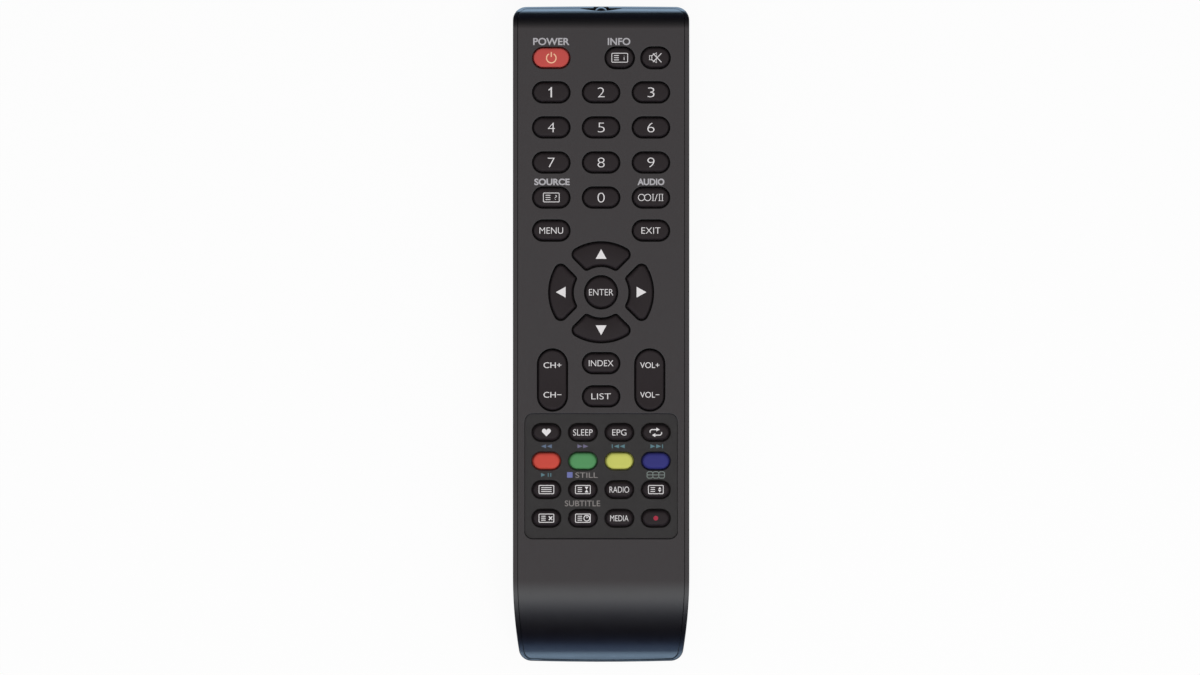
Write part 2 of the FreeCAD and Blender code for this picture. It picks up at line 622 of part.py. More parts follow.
def list_keys():
    """List the keys from the head to the tail, row by row."""
    left = f"-{COLUMN_PITCH}"
    right = COLUMN_PITCH
    keys = [
        Key("key_power", "wide", left, FIRST_ROW_Y),
        Key("key_info", "short", INFO_X, FIRST_ROW_Y),
        Key("key_mute", "short", MUTE_X, FIRST_ROW_Y),
    ]
    for row, nodes in enumerate(NUMBER_KEYS):
        for column, node in enumerate(nodes):
            x = f"{column - 1} * {COLUMN_PITCH}"
            y = f"{NUMBER_ROW_Y} - {row} * Sizes.row_pitch"
            keys.append(Key(node, "wide", x, y, block="numbers"))
    keys += [
        Key("key_menu", "wide", left, MENU_ROW_Y),
        Key("key_exit", "wide", right, MENU_ROW_Y),
        Key("key_up", "arrow", "0", PAD_Y, 0.0),
        Key("key_left", "arrow", "-Sizes.arrow_shift", PAD_Y, 90.0, trim="Sizes.side_arrow_trim"),
        Key("key_enter", "enter", "0", PAD_Y),
        Key("key_right", "arrow", "Sizes.arrow_shift", PAD_Y, -90.0, trim="Sizes.side_arrow_trim"),
        Key("key_down", "arrow", "0", PAD_Y, 180.0),
        Key("rocker_channel", "rocker", f"-{ROCKER_X}", ROCKER_Y),
        Key("key_index", "wide", "0", INDEX_Y),
        Key("key_list", "wide", "0", LIST_Y),
        Key("rocker_volume", "rocker", ROCKER_X, ROCKER_Y),
    ]
    middle = (len(PANEL_KEYS) - 1) / 2
    for row, nodes in enumerate(PANEL_KEYS):
        for column, node in enumerate(nodes):
            x = f"{column - middle} * {PANEL_PITCH}"
            y = f"{PANEL_Y} + Sizes.panel_keys_shift + {middle - row} * Sizes.panel_row_pitch"
            keys.append(Key(node, "panel", x, y, block="panel"))
    return keys


def draw_opening(sketch, key, grow):
    """Draw a key's opening, or its cap where grow is negative."""
    kind = KINDS[key.kind]
    if key.kind == "arrow":
        add_edges(sketch, sector_outline(number(grow), number(key.trim)))
    elif key.kind == "enter":
        add_circle(sketch, f"{kind.width} / 2 + {grow}")
    elif key.kind == "rocker":
        add_pill(sketch, f"{kind.depth} + 2 * {grow}", f"{kind.width} + 2 * {grow}")
    else:
        add_pill(sketch, f"{kind.width} + 2 * {grow}", f"{kind.depth} + 2 * {grow}")


def make_key(key):
    """Build a key: the retaining plate under the face and the cap that stands through it."""
    body = new_body(key.node, key.x, key.y, key.turn)
    kind = KINDS[key.kind]
    top = ROCKER_TOP if key.kind == "rocker" else PLATE_TOP
    margin = "Sizes.enter_plate_margin" if key.kind == "enter" else "Sizes.plate_margin"
    grow = f"2 * ({margin} - Sizes.key_gap)"
    plate = new_sketch(body, f"{key.node}_plate", level=PLATE_LOW)
    if key.kind == "arrow":
        add_edges(plate, polygon(sector_plate()))
    else:
        add_rectangle(plate, f"{kind.width} + {grow}", f"{kind.depth} + {grow}")
    pad(body, plate, f"{top} - {PLATE_LOW}")
    long_turn = 90.0 if key.kind == "rocker" else 0.0
    cap = new_sketch(body, f"{key.node}_cap", level=top, turn=long_turn)
    draw_opening(cap, key, "(-Sizes.key_gap)")
    face = "(Sizes.face_height - Sizes.panel_depth)" if key.block == "panel" else "Sizes.face_height"
    pad(body, cap, f"{face} + Sizes.key_proud - {top}")
    return body


def draw_slot(sketch):
    """Draw the emitter's slot in end view: two arcs that meet in a point at each end."""
    half = sheet.slot_width / 2
    rise = sheet.slot_height / 2
    radius = (half**2 + rise**2) / (2 * rise)
    middle = sheet.emitter_height
    upper = (0.0, middle + rise - radius)
    lower = (0.0, middle - rise + radius)
    add_edges(sketch, [arc(upper, radius, (half, middle), (-half, middle))])
    add_edges(sketch, [arc(lower, radius, (-half, middle), (half, middle))])


def cut_emitter_slot(body):
    """Cut the emitter's slot through the head end."""
    level = f"-({HALF_LENGTH} + {CUT_SPARE})"
    slot = new_sketch(body, "emitter_slot", role="XZ_Plane", level=level)
    draw_slot(slot)
    pocket(body, slot, f"Sizes.slot_depth + {CUT_SPARE}", upward=True)


def cut_emitter_seat(body):
    """Cut the round seat in the tub's rim that the emitter's dome looks out of."""
    level = f"-({HALF_LENGTH} + {CUT_SPARE})"
    seat = new_sketch(body, "emitter_seat", role="XZ_Plane", level=level, y="Sizes.emitter_height")
    add_circle(seat, "Sizes.emitter_radius + Sizes.emitter_gap")
    pocket(body, seat, f"Sizes.slot_depth + {CUT_SPARE}", upward=True)


def make_top_case(keys):
    """Build the upper case: a shell under the rolled face, with the openings for the keys."""
    body = new_body("top_case")
    side_inset = sheet.rim_side + sheet.fit_gap
    end_inset = sheet.rim_end + sheet.fit_gap
    wall = sheet.wall
    case_form(body, side_inset, end_inset, "Sizes.seat_height")
    core = new_body("top_case_core")
    case_form(core, side_inset + wall, end_inset + wall, "Sizes.cavity_shelf", "Sizes.wall")
    hollow = body.newObject("PartDesign::Boolean", "top_case_hollow")
    hollow.Type = "Cut"
    hollow.addObject(core)
    panel = new_sketch(body, "panel_outline", level="Sizes.face_height", y=PANEL_Y)
    add_rectangle(panel, PANEL_WIDTH, "Sizes.panel_length")
    recess = pocket(body, panel, "Sizes.panel_depth")
    doc.recompute()
    round_panel(body, recess)
    for key in keys:
        if not key.block:
            cut_opening(body, key)
    cut_block(body, keys, "numbers", NUMBER_KEYS, COLUMN_PITCH, "Sizes.row_pitch")
    cut_block(body, keys, "panel", PANEL_KEYS, PANEL_PITCH, "Sizes.panel_row_pitch")
    cut_emitter_slot(body)
    boss = new_sketch(body, "screw_boss", level=BOARD_TOP, y=SCREW_Y)
    add_circle(boss, "Sizes.boss_radius")
    pad(body, boss, f"Sizes.face_height - Sizes.wall / 2 - {BOARD_TOP}")
    bore = new_sketch(body, "boss_bore", level=BOARD_TOP, y=SCREW_Y)
    add_circle(bore, "Sizes.screw_radius + Sizes.screw_gap")
    pocket(body, bore, "Sizes.screw_reach + Sizes.screw_gap", upward=True)
    add_locating_tabs(body)
    return body


def cut_opening(body, key):
    """Cut one key's opening through the face."""
    turn = key.turn + (90.0 if key.kind == "rocker" else 0.0)
    name = f"{key.node}_opening"
    opening = new_sketch(body, name, level="Sizes.face_height", x=key.x, y=key.y, turn=turn)
    draw_opening(opening, key, "0")
    return pocket(body, opening)


def cut_block(body, keys, block, rows, column_pitch, row_pitch):
    """Cut the openings of a block of keys: the first one, repeated by columns and rows."""
    first = next(key for key in keys if key.block == block)
    opening = cut_opening(body, first)
    repeated = body.newObject("PartDesign::LinearPattern", f"{block}_openings")
    repeated.Originals = [opening]
    repeated.Direction = (opening.Profile[0], ["H_Axis"])
    repeated.Occurrences = len(rows[0])
    repeated.setExpression("Length", f"{len(rows[0]) - 1} * {column_pitch}")
    repeated.Direction2 = (opening.Profile[0], ["V_Axis"])
    repeated.Reversed2 = True
    repeated.Occurrences2 = len(rows)
    repeated.setExpression("Length2", f"{len(rows) - 1} * {row_pitch}")
    body.Tip = repeated


def add_locating_tabs(body):
    """Add the tabs that hang from the upper case's side walls inside the tub's ledge."""
    inner = sheet.body_width / 2 - sheet.rim_side - sheet.fit_gap - sheet.wall
    root = inner + sheet.wall / 2
    outer = inner - sheet.fit_gap
    edge = outer - sheet.tab_thickness
    top = sheet.seat_height + 2 * sheet.tab_drop
    low = sheet.seat_height - sheet.tab_drop
    seat = sheet.seat_height + sheet.fit_gap
    right = [(root, top), (edge, top - sheet.tab_thickness), (edge, low), (outer, low)]
    right += [(outer, seat), (root, seat)]
    left = [mirrored(point) for point in reversed(right)]
    tabs = new_sketch(body, "locating_tabs", role="XZ_Plane", level=f"-{TAB_PLACE_Y}")
    add_edges(tabs, polygon(right) + polygon(left))
    first = pad(body, tabs, "Sizes.tab_length", middle=True)
    pairs = body.newObject("PartDesign::LinearPattern", "tab_pairs")
    pairs.Originals = [first]
    pairs.Direction = (tabs, ["N_Axis"])
    pairs.setExpression("Occurrences", "Sizes.tab_pairs")
    pairs.setExpression("Length", f"2 * {TAB_PLACE_Y}")
    body.Tip = pairs


def round_panel(body, recess):
    """Round the upright corners of the lower panel's recess."""
    floor = sheet.face_height - sheet.panel_depth
    corners = [
        f"Edge{index + 1}"
        for index, edge in enumerate(recess.Shape.Edges)
        if abs(edge.BoundBox.ZMin - floor) < 0.001
        and abs(edge.BoundBox.ZMax - sheet.face_height) < 0.001
        and edge.BoundBox.YLength < 0.001
    ]
    rounding = body.newObject("PartDesign::Fillet", "panel_corners")
    rounding.Base = (recess, corners)
    rounding.setExpression("Radius", "Sizes.panel_corner")


def make_bottom_case():
    """Build the tub: rounded underside, rim, ledge, screw posts, battery bay and cover track."""
    body = new_body("bottom_case")
    case_form(body, 0.0, 0.0, "0")
    underside = new_sketch(body, "underside", role="YZ_Plane")
    add_edges(underside, underside_outline())
    pocket(body, underside, middle=True)
    sides = new_sketch(body, "long_edges", role="XZ_Plane")
    add_edges(sides, side_round_outlines())
    pocket(body, sides, middle=True)
    nest = new_sketch(body, "nest", level="Sizes.seat_height")
    add_edges(nest, plan_outline(sheet.rim_side, sheet.rim_end))
    pocket(body, nest, upward=True)
    ledge = sheet.fit_gap + sheet.wall
    upper = new_sketch(body, "upper_hollow", level="Sizes.seat_height")
    add_edges(upper, plan_outline(sheet.rim_side + ledge, sheet.rim_end + ledge))
    pocket(body, upper, "Sizes.seat_height - Sizes.cavity_shelf")
    lower = new_sketch(body, "lower_hollow", role="YZ_Plane")
    add_edges(lower, polygon(lower_hollow_points()))
    shelf = "(Sizes.rim_side + Sizes.fit_gap + Sizes.wall + Sizes.shelf_width)"
    inner_width = f"Sizes.body_width - 2 * {shelf}"
    pocket(body, lower, inner_width, middle=True)
    add_track_floor(body)
    add_screw_post(body)
    add_battery_bay(body)
    cut_cover_track(body)
    cut_emitter_seat(body)
    return body


def lower_hollow_points():
    """Give the side-view corners of the hollow above the floor, which rises with the underside."""
    half_length = sheet.body_length / 2
    tail = sheet.hollow_tail - half_length
    head = half_length - sheet.rim_end - sheet.fit_gap - sheet.wall
    rise_start = half_length - sheet.rise_length
    head_floor = sheet.wall + sheet.head_rise * (head - rise_start) / sheet.rise_length
    top = sheet.seat_height
    return [(tail, sheet.wall), (rise_start, sheet.wall), (head, head_floor), (head, top), (tail, top)]


def add_track_floor(body):
    """Thicken the floor over the battery cover's track, from the tail to the track's head end."""
    root = "Sizes.wall / 2"
    head = f"({TRACK_HEAD} + Sizes.bay_wall)"
    tail = f"(Sizes.track_floor_tail - {HALF_LENGTH})"
    floor = new_sketch(body, "track_floor", level=root, y=f"({head} + {tail}) / 2")
    wide = f"{GROOVE_WIDTH} + 2 * Sizes.bay_wall"
    add_rectangle(floor, wide, f"{head} - {tail}")
    pad(body, floor, f"Sizes.cover_thickness + Sizes.cover_gap + Sizes.bay_wall - {root}")


def add_screw_post(body):
    """Add the post that carries the board, with a recess below for the screw's head."""
    root = "Sizes.wall / 2"
    post = new_sketch(body, "screw_post", level=root, y=SCREW_Y)
    add_circle(post, "Sizes.post_radius")
    pad(body, post, f"Sizes.board_bottom - {root}")
    recess = new_sketch(body, "screw_recess", y=SCREW_Y)
    add_circle(recess, "Sizes.screw_recess_radius")
    pocket(body, recess, "Sizes.screw_recess", upward=True)
    bore = new_sketch(body, "screw_bore", y=SCREW_Y)
    add_circle(bore, "Sizes.screw_radius + Sizes.screw_gap")
    pocket(body, bore, upward=True)


def add_battery_bay(body):
    """Add the walled and roofed bay for the two cells, with a dividing rib along its roof."""
    bay = new_sketch(body, "bay_walls", level="Sizes.wall / 2", y=BAY_MIDDLE)
    wide = f"2 * {BAY_HALF_WIDTH} + 2 * Sizes.bay_wall"
    add_rectangle(bay, wide, f"{BAY_LENGTH} + 2 * Sizes.bay_wall")
    pad(body, bay, f"{BAY_ROOF} + Sizes.bay_wall - Sizes.wall / 2")
    hollow = new_sketch(body, "bay_hollow", y=BAY_MIDDLE)
    add_rectangle(hollow, f"2 * {BAY_HALF_WIDTH}", BAY_LENGTH)
    pocket(body, hollow, BAY_ROOF, upward=True)
    rib = new_sketch(body, "bay_rib", level=f"{BAY_ROOF} - Sizes.rib_drop", y=BAY_MIDDLE)
    rib_length = "Sizes.cell_length - 2 * Sizes.spring_length"
    add_rectangle(rib, "Sizes.bay_wall", rib_length)
    pad(body, rib, "Sizes.rib_drop + Sizes.bay_wall / 2")
    for side in (1, -1):
        x = f"{side} * Sizes.cell_spacing / 2"
        slot = new_sketch(body, f"tab_slot_{(side + 1) // 2}", x=x, y=TAB_Y)
        grow = "2 * Sizes.cell_clear"
        add_rectangle(slot, f"Sizes.tab_width + {grow}", f"{TAB_DEPTH} + {grow}")
        pocket(body, slot, upward=True)


def cut_cover_track(body):
    """Cut the recess for the battery cover, open at the tail, with a groove along each side."""
    gap = "Sizes.cover_gap"
    track_length = f"({TRACK_HEAD} + {HALF_LENGTH} + {CUT_SPARE})"
    track_y = f"{TRACK_HEAD} - {track_length} / 2"
    recess = new_sketch(body, "cover_recess", y=track_y)
    add_rectangle(recess, f"Sizes.cover_width + 2 * {gap}", track_length)
    pocket(body, recess, f"Sizes.cover_thickness + {gap}", upward=True)
    tongue_low = f"Sizes.cover_thickness - Sizes.tongue_height - {gap} / 2"
    groove = new_sketch(body, "cover_groove", level=tongue_low, y=track_y)
    add_rectangle(groove, GROOVE_WIDTH, track_length)
    pocket(body, groove, f"Sizes.tongue_height + {gap} * 3 / 2", upward=True)
    notch = new_sketch(body, "catch_notch", level="Sizes.cover_thickness", y=BEAD_Y)
    add_rectangle(notch, "Sizes.bead_length + 2 * Sizes.notch_gap", "Sizes.wall")
    pocket(body, notch, f"{gap} + 2 * Sizes.bead_height", upward=True)


def make_battery_cover():
    """Build the sliding cover: plate with a rounded tail, side tongues, catch bead and grip."""
    body = new_body("battery_cover")
    half_length = sheet.body_length / 2
    radius = sheet.tail_round
    thick = sheet.cover_thickness
    flat_tail = radius - half_length
    rounded = flat_tail - math.sqrt(radius**2 - (radius - thick) ** 2)
    head = number(COVER_HEAD)
    side = new_sketch(body, "cover_side_view", role="YZ_Plane")
    bottom_edge = line((flat_tail, 0.0), (head, 0.0))
    top_edge = line((head, thick), (rounded, thick))
    round_edge = arc((flat_tail, radius), radius, (rounded, thick), (flat_tail, 0.0))
    add_edges(side, [round_edge, bottom_edge, line((head, 0.0), (head, thick)), top_edge])
    pad(body, side, "Sizes.cover_width", middle=True)
    tongue_level = "Sizes.cover_thickness - Sizes.tongue_height"
    tongue_length = f"({COVER_HEAD} + {HALF_LENGTH} - Sizes.tail_round)"
    tongue_y = f"{COVER_HEAD} - {tongue_length} / 2"
    tongues = new_sketch(body, "cover_tongues", level=tongue_level, y=tongue_y)
    add_rectangle(tongues, "Sizes.cover_width + 2 * Sizes.tongue_width", tongue_length)
    pad(body, tongues, "Sizes.tongue_height")
    bead = new_sketch(body, "catch_bead", level="Sizes.cover_thickness / 2", y=BEAD_Y)
    add_rectangle(bead, "Sizes.bead_length", "Sizes.wall / 2")
    pad(body, bead, "Sizes.cover_thickness / 2 + Sizes.bead_height")
    groove = new_sketch(body, "grip_groove", y=f"{COVER_HEAD} - Sizes.grip_start")
    add_rectangle(groove, "Sizes.grip_length", "Sizes.grip_width")
    first = pocket(body, groove, "Sizes.grip_depth", upward=True)
    rows = body.newObject("PartDesign::LinearPattern", "grip_rows")
    rows.Originals = [first]
    rows.Direction = (groove, ["V_Axis"])
    rows.Reversed = True
    rows.setExpression("Occurrences", "Sizes.grip_count")
    rows.setExpression("Length", "Sizes.grip_pitch * (Sizes.grip_count - 1)")
    body.Tip = rows
    return body


def make_board():
    """Build the circuit board with its screw hole."""
    body = new_body("circuit_board")
    outline = new_sketch(body, "board_outline", level="Sizes.board_bottom", y=BOARD_MIDDLE)
    add_rectangle(outline, BOARD_WIDTH, "Sizes.board_length")
    pad(body, outline, "Sizes.board_thickness")
    hole = new_sketch(body, "board_hole", y=SCREW_Y)
    add_circle(hole, "Sizes.screw_radius + Sizes.screw_gap")
    pocket(body, hole, upward=True)
    return body


def make_mat():
    """Build the keypad mat that the keys press on, with a hole for the screw boss."""
    body = new_body("keypad_mat")
    outline = new_sketch(body, "mat_outline", level=BOARD_TOP, y=BOARD_MIDDLE)
    add_rectangle(outline, BOARD_WIDTH, "Sizes.board_length - 2 * Sizes.mat_inset")
    pad(body, outline, "Sizes.mat_thickness")
    hole = new_sketch(body, "mat_hole", y=SCREW_Y)
    add_circle(hole, "Sizes.boss_radius + Sizes.mat_hole_gap")
    pocket(body, hole, upward=True)
    return body


def make_cell(name, side):
    """Build one cell. The left cell's nub points to the head and the right cell's to the tail."""
    body = new_body(name)
    profile = new_sketch(body, f"{name}_profile", role="XY_Plane")
    start = number(BAY_HEAD) - sheet.strip_thickness - sheet.contact_touch
    nub_tip = start
    shoulder = nub_tip - sheet.cell_nub
    back = shoulder - sheet.cell_length
    if side > 0:
        nub_tip = start - number(BAY_LENGTH) + 2 * sheet.strip_thickness + 2 * sheet.contact_touch
        shoulder = nub_tip + sheet.cell_nub
        back = shoulder + sheet.cell_length
    points = [
        (0.0, nub_tip),
        (sheet.cell_nub_radius, nub_tip),
        (sheet.cell_nub_radius, shoulder),
        (sheet.cell_radius, shoulder),
        (sheet.cell_radius, back),
        (0.0, back),
    ]
    add_edges(profile, polygon(points))
    turned = body.newObject("PartDesign::Revolution", f"{name}_turned")
    turned.Profile = profile
    turned.ReferenceAxis = (profile, ["V_Axis"])
    turned.Angle = 360.0
    body.setExpression("Placement.Base.x", f"{side} * Sizes.cell_spacing / 2")
    body.setExpression("Placement.Base.z", CELL_HEIGHT)
    return body


def strip_box(name, x, y, z, width, depth, height):
    """Give a flat piece of contact strip, placed by its middle in x and y and its low side."""
    box = doc.addObject("Part::Box", name)
    box.setExpression("Length", width)
    box.setExpression("Width", depth)
    box.setExpression("Height", height)
    box.setExpression("Placement.Base.x", f"{x} - ({width}) / 2")
    box.setExpression("Placement.Base.y", f"{y} - ({depth}) / 2")
    box.setExpression("Placement.Base.z", z)
    return box


def tongue_points(root_y, away):
    """Give the side-view outline of a sprung tongue that leans out from a contact strip."""
    thick = sheet.strip_thickness
    reach = sheet.spring_length
    middle = number(CELL_HEIGHT)
    low = middle - sheet.tongue_foot
    high = middle + sheet.tongue_end
    bend = middle + sheet.tongue_bend
    tip = root_y + away * reach
    return [
        (root_y, low),
        (root_y, low + 2 * thick),
        (tip - away * thick, bend),
        (tip - away * 2 * thick, high),
        (tip - away * thick, high),
        (tip, bend),
        (root_y + away * 2 * thick, low),
    ]


def make_tongue(name, x, root_y, away):
    """Build a sprung tongue beside the negative end of a cell."""
    face = Part.Face(
        Part.makePolygon(
            [
                FreeCAD.Vector(0, point[0], point[1])
                for point in tongue_points(root_y, away) + tongue_points(root_y, away)[:1]
            ]
        )
    )
    width = sheet.strip_width / 2
    tongue = doc.addObject("Part::Feature", name)
    tongue.Shape = face.extrude(FreeCAD.Vector(width, 0, 0))
    tongue.setExpression("Placement.Base.x", f"{x} - Sizes.strip_width / 4")
    return tongue


def fuse(name, pieces):
    """Join pieces into one sub-part."""
    joined = doc.addObject("Part::MultiFuse", name)
    joined.Label = name
    joined.Shapes = pieces
    return joined


def make_contacts():
    """Build the bay's contacts: a positive and a negative terminal and the linking strip."""
    thick = "Sizes.strip_thickness"
    head_y = f"({BAY_HEAD} - {thick} / 2)"
    tail_y = f"({BAY_HEAD} - {BAY_LENGTH} + {thick} / 2)"
    low = f"({CELL_HEIGHT} - Sizes.strip_width / 2)"
    left = "(-Sizes.cell_spacing / 2)"
    right = "(Sizes.cell_spacing / 2)"
    plate = "Sizes.strip_width"
    tab_height = f"Sizes.board_bottom - {low}"
    positive = [
        strip_box("positive_plate", left, head_y, low, plate, thick, plate),
        strip_box("positive_tab", left, head_y, low, "Sizes.tab_width", thick, tab_height),
    ]
    head_face = number(f"{BAY_HEAD} - {thick}")
    tail_face = number(f"{BAY_HEAD} - {BAY_LENGTH} + {thick}")
    negative = [
        strip_box("negative_plate", right, head_y, low, plate, thick, plate),
        strip_box("negative_tab", right, head_y, low, "Sizes.tab_width", thick, tab_height),
        make_tongue("negative_tongue", right, head_face, -1),
    ]
    link_width = "Sizes.cell_spacing + Sizes.strip_width"
    link = [
        strip_box("link_strip", "0", tail_y, low, link_width, thick, plate),
        make_tongue("link_tongue", left, tail_face, 1),
    ]
    return [
        fuse("positive_terminal", positive),
        fuse("negative_terminal", negative),
        fuse("battery_link", link),
    ]


def make_emitter():
    """Build the infrared emitter: domed barrel, collar against the board's edge and two legs."""
    body = new_body("infrared_emitter")
    radius = sheet.emitter_radius
    tip = sheet.body_length / 2 - sheet.emitter_inset
    dome_center = tip - sheet.emitter_dome_radius
    shoulder = dome_center + math.sqrt(sheet.emitter_dome_radius**2 - radius**2)
    back = number(BOARD_HEAD) + sheet.contact_touch
    collar = radius + sheet.emitter_collar
    collar_front = back + 2 * sheet.emitter_collar
    profile = new_sketch(body, "emitter_profile", role="XY_Plane")
    dome = arc((0.0, dome_center), sheet.emitter_dome_radius, (radius, shoulder), (0.0, tip))
    points = [
        (0.0, tip),
        (0.0, back),
        (collar, back),
        (collar, collar_front),
        (radius, collar_front),
        (radius, shoulder),
    ]
    edges = [line(points[index], points[index + 1]) for index in range(len(points) - 1)]
    add_edges(profile, [dome] + edges)
    turned = body.newObject("PartDesign::Revolution", "emitter_turned")
    turned.Profile = profile
    turned.ReferenceAxis = (profile, ["V_Axis"])
    turned.Angle = 360.0
    body.setExpression("Placement.Base.z", "Sizes.emitter_height")
    leg_level = f"{BOARD_TOP} - Sizes.emitter_height"
    leg_y = f"{BOARD_HEAD} + Sizes.emitter_collar - Sizes.mat_inset / 2"
    for side in (-1, 1):
        x = f"{side} * Sizes.emitter_radius / 2"
        leg = new_sketch(body, f"emitter_leg_{(side + 1) // 2}", level=leg_level, x=x, y=leg_y)
        add_rectangle(leg, "Sizes.emitter_collar", "Sizes.mat_inset")
        pad(body, leg, "Sizes.emitter_collar")
    return body


def make_board_part(name, prefix, y, round_part=False):
    """Build a small part that hangs under the board, from the sizes that start with prefix."""
    size = f"Sizes.{prefix}"
    body = new_body(name, f"{size}_x", y)
    outline = new_sketch(body, f"{name}_outline", level=f"Sizes.board_bottom - {size}_height")
    if round_part:
        add_circle(outline, f"{size}_radius")
    else:
        add_rectangle(outline, f"{size}_length", f"{size}_width")
    pad(body, outline, f"{size}_height")
    return body


def make_screw():
    """Build the case screw: recessed head and a shank up into the upper case's boss."""
    head = doc.addObject("Part::Cylinder", "screw_head")
    head.setExpression("Radius", "Sizes.screw_head_radius")
    head.setExpression("Height", "Sizes.screw_head_height")
    head.setExpression("Placement.Base.z", "Sizes.screw_recess - Sizes.screw_head_height")
    shank = doc.addObject("Part::Cylinder", "screw_shank")
    shank.setExpression("Radius", "Sizes.screw_radius")
    shank.setExpression("Height", f"{BOARD_TOP} + Sizes.screw_reach - Sizes.screw_recess")
    shank.setExpression("Placement.Base.z", "Sizes.screw_recess")
    for piece in (head, shank):
        piece.setExpression("Placement.Base.y", SCREW_Y)
    return fuse("case_screw", [head, shank])


def check_document():
    """Stop if anything in the document failed, or if a pocket cuts nothing."""
    for item in doc.Objects:
        if "Invalid" in item.State or "Error" in item.State:
            raise RuntimeError(f"{item.Name} failed: {item.State}")
        if item.isDerivedFrom("PartDesign::Pocket"):
            if not item.Shape.Volume < item.BaseFeature.Shape.Volume:
                raise RuntimeError(f"{item.Name} cuts nothing")


def write_parts(parts):
    """Check each sub-part's solid and write it to its own file."""
    os.makedirs("parts", exist_ok=True)
    for part in parts:
        shape = part.Shape
        if shape.isNull() or not shape.isValid() or not shape.Solids:
            raise RuntimeError(f"{part.Label} has no valid solid")
    for part in parts:
        part.Shape.exportStep(f"parts/{part.Label}.step")
        print(part.Label, len(part.Shape.Solids), round(part.Shape.Volume, 1))


keys = list_keys()
parts = [make_key(key) for key in keys]
parts.append(make_top_case(keys))
parts.append(make_bottom_case())
parts.append(make_battery_cover())
parts.append(make_board())
parts.append(make_mat())
parts.append(make_cell("cell_left", -1))
parts.append(make_cell("cell_right", 1))
parts += make_contacts()
parts.append(make_emitter())
parts.append(make_screw())
parts.append(make_board_part("controller_chip", "chip", CHIP_Y))
parts.append(make_board_part("ceramic_resonator", "resonator", CHIP_Y))
parts.append(make_board_part("filter_capacitor", "capacitor", CAPACITOR_Y, round_part=True))
doc.recompute()
check_document()
write_parts(parts)
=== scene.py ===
import logging
import math
from collections.abc import Callable, Iterable
from dataclasses import dataclass, field
from enum import Enum

import bmesh
import bpy
from mathutils import Matrix, Vector


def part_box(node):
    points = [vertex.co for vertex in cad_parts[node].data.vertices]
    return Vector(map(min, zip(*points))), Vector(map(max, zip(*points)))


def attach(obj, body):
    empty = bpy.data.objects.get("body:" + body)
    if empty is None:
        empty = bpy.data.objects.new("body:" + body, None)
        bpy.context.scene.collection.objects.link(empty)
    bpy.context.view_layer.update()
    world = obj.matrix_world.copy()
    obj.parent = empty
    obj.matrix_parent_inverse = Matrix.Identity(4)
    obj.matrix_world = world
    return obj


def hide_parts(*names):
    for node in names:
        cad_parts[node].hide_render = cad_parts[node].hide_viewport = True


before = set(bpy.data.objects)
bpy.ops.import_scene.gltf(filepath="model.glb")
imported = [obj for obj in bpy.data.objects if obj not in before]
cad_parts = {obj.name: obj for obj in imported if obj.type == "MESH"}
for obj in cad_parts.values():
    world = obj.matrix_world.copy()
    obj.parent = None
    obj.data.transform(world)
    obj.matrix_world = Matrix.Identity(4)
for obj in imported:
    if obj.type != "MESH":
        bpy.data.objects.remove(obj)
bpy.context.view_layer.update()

# Looks of a television remote control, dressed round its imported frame.
# Sizes and places are millimetres, and MM turns them to Blender's metres.
# Y points to the head end, X to the right of the key face and Z up, as in the frame.

MM = 0.001
PANEL_DEPTH = 0.6
FACE_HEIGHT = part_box("top_case")[1].z / MM
PANEL_FLOOR = FACE_HEIGHT - PANEL_DEPTH
# Points nearer than the first are one point, and faces closer to flat than the second one face.
MERGE_DISTANCE = 0.002
FLAT_DEGREES = 0.1
CUT_TOLERANCE = 0.001
# A face is level where its normal's upright part is past the first, and two heights that differ
# by less than the second are the same.
LEVEL = 0.99
SAME_HEIGHT = 0.01
AXES = (Vector((1, 0, 0)), Vector((0, 1, 0)))

Colour = tuple[float, float, float, float]
Place = tuple[float, float]
Socket = bpy.types.NodeSocket

log = logging.getLogger("remote")


def linear(colour: str) -> Colour:
    """Turn an sRGB colour to the linear values that shaders take, by the standard's curve.

    Args:
        colour: the colour as six hex digits after a hash.

    Returns:
        Red, green, blue and an alpha of 1.
    """
    parts = [int(colour[index:index + 2], 16) / 255 for index in (1, 3, 5)]
    red, green, blue = (c / 12.92 if c <= 0.04045 else ((c + 0.055) / 1.055) ** 2.4 for c in parts)
    return (red, green, blue, 1.0)


def add_node(
    tree: bpy.types.NodeTree,
    kind: str,
    inputs: dict[str | int, object] | None = None,
    stops: tuple[tuple[float, str], ...] = (),
    **settings: object,
) -> bpy.types.Node:
    """Add a shader node with its settings, values and links.

    Args:
        tree: the node tree that gets the node.
        kind: the node's type without its ShaderNode prefix.
        inputs: a value, or the socket that feeds it, for each input's name or number.
        stops: places and hex colours of a colour ramp's stops.
        **settings: the node's own settings.

    Returns:
        The new node.
    """
    node = tree.nodes.new(f"ShaderNode{kind}")
    for name, value in settings.items():
        setattr(node, name, value)
    for name, value in (inputs or {}).items():
        if isinstance(value, Socket):
            tree.links.new(value, node.inputs[name])
        else:
            node.inputs[name].default_value = value
    for index, (place, colour) in enumerate(stops):
        ramp = node.color_ramp.elements
        stop = ramp[index] if index < len(ramp) else ramp.new(place)
        stop.position = place
        stop.color = linear(colour)
    return node


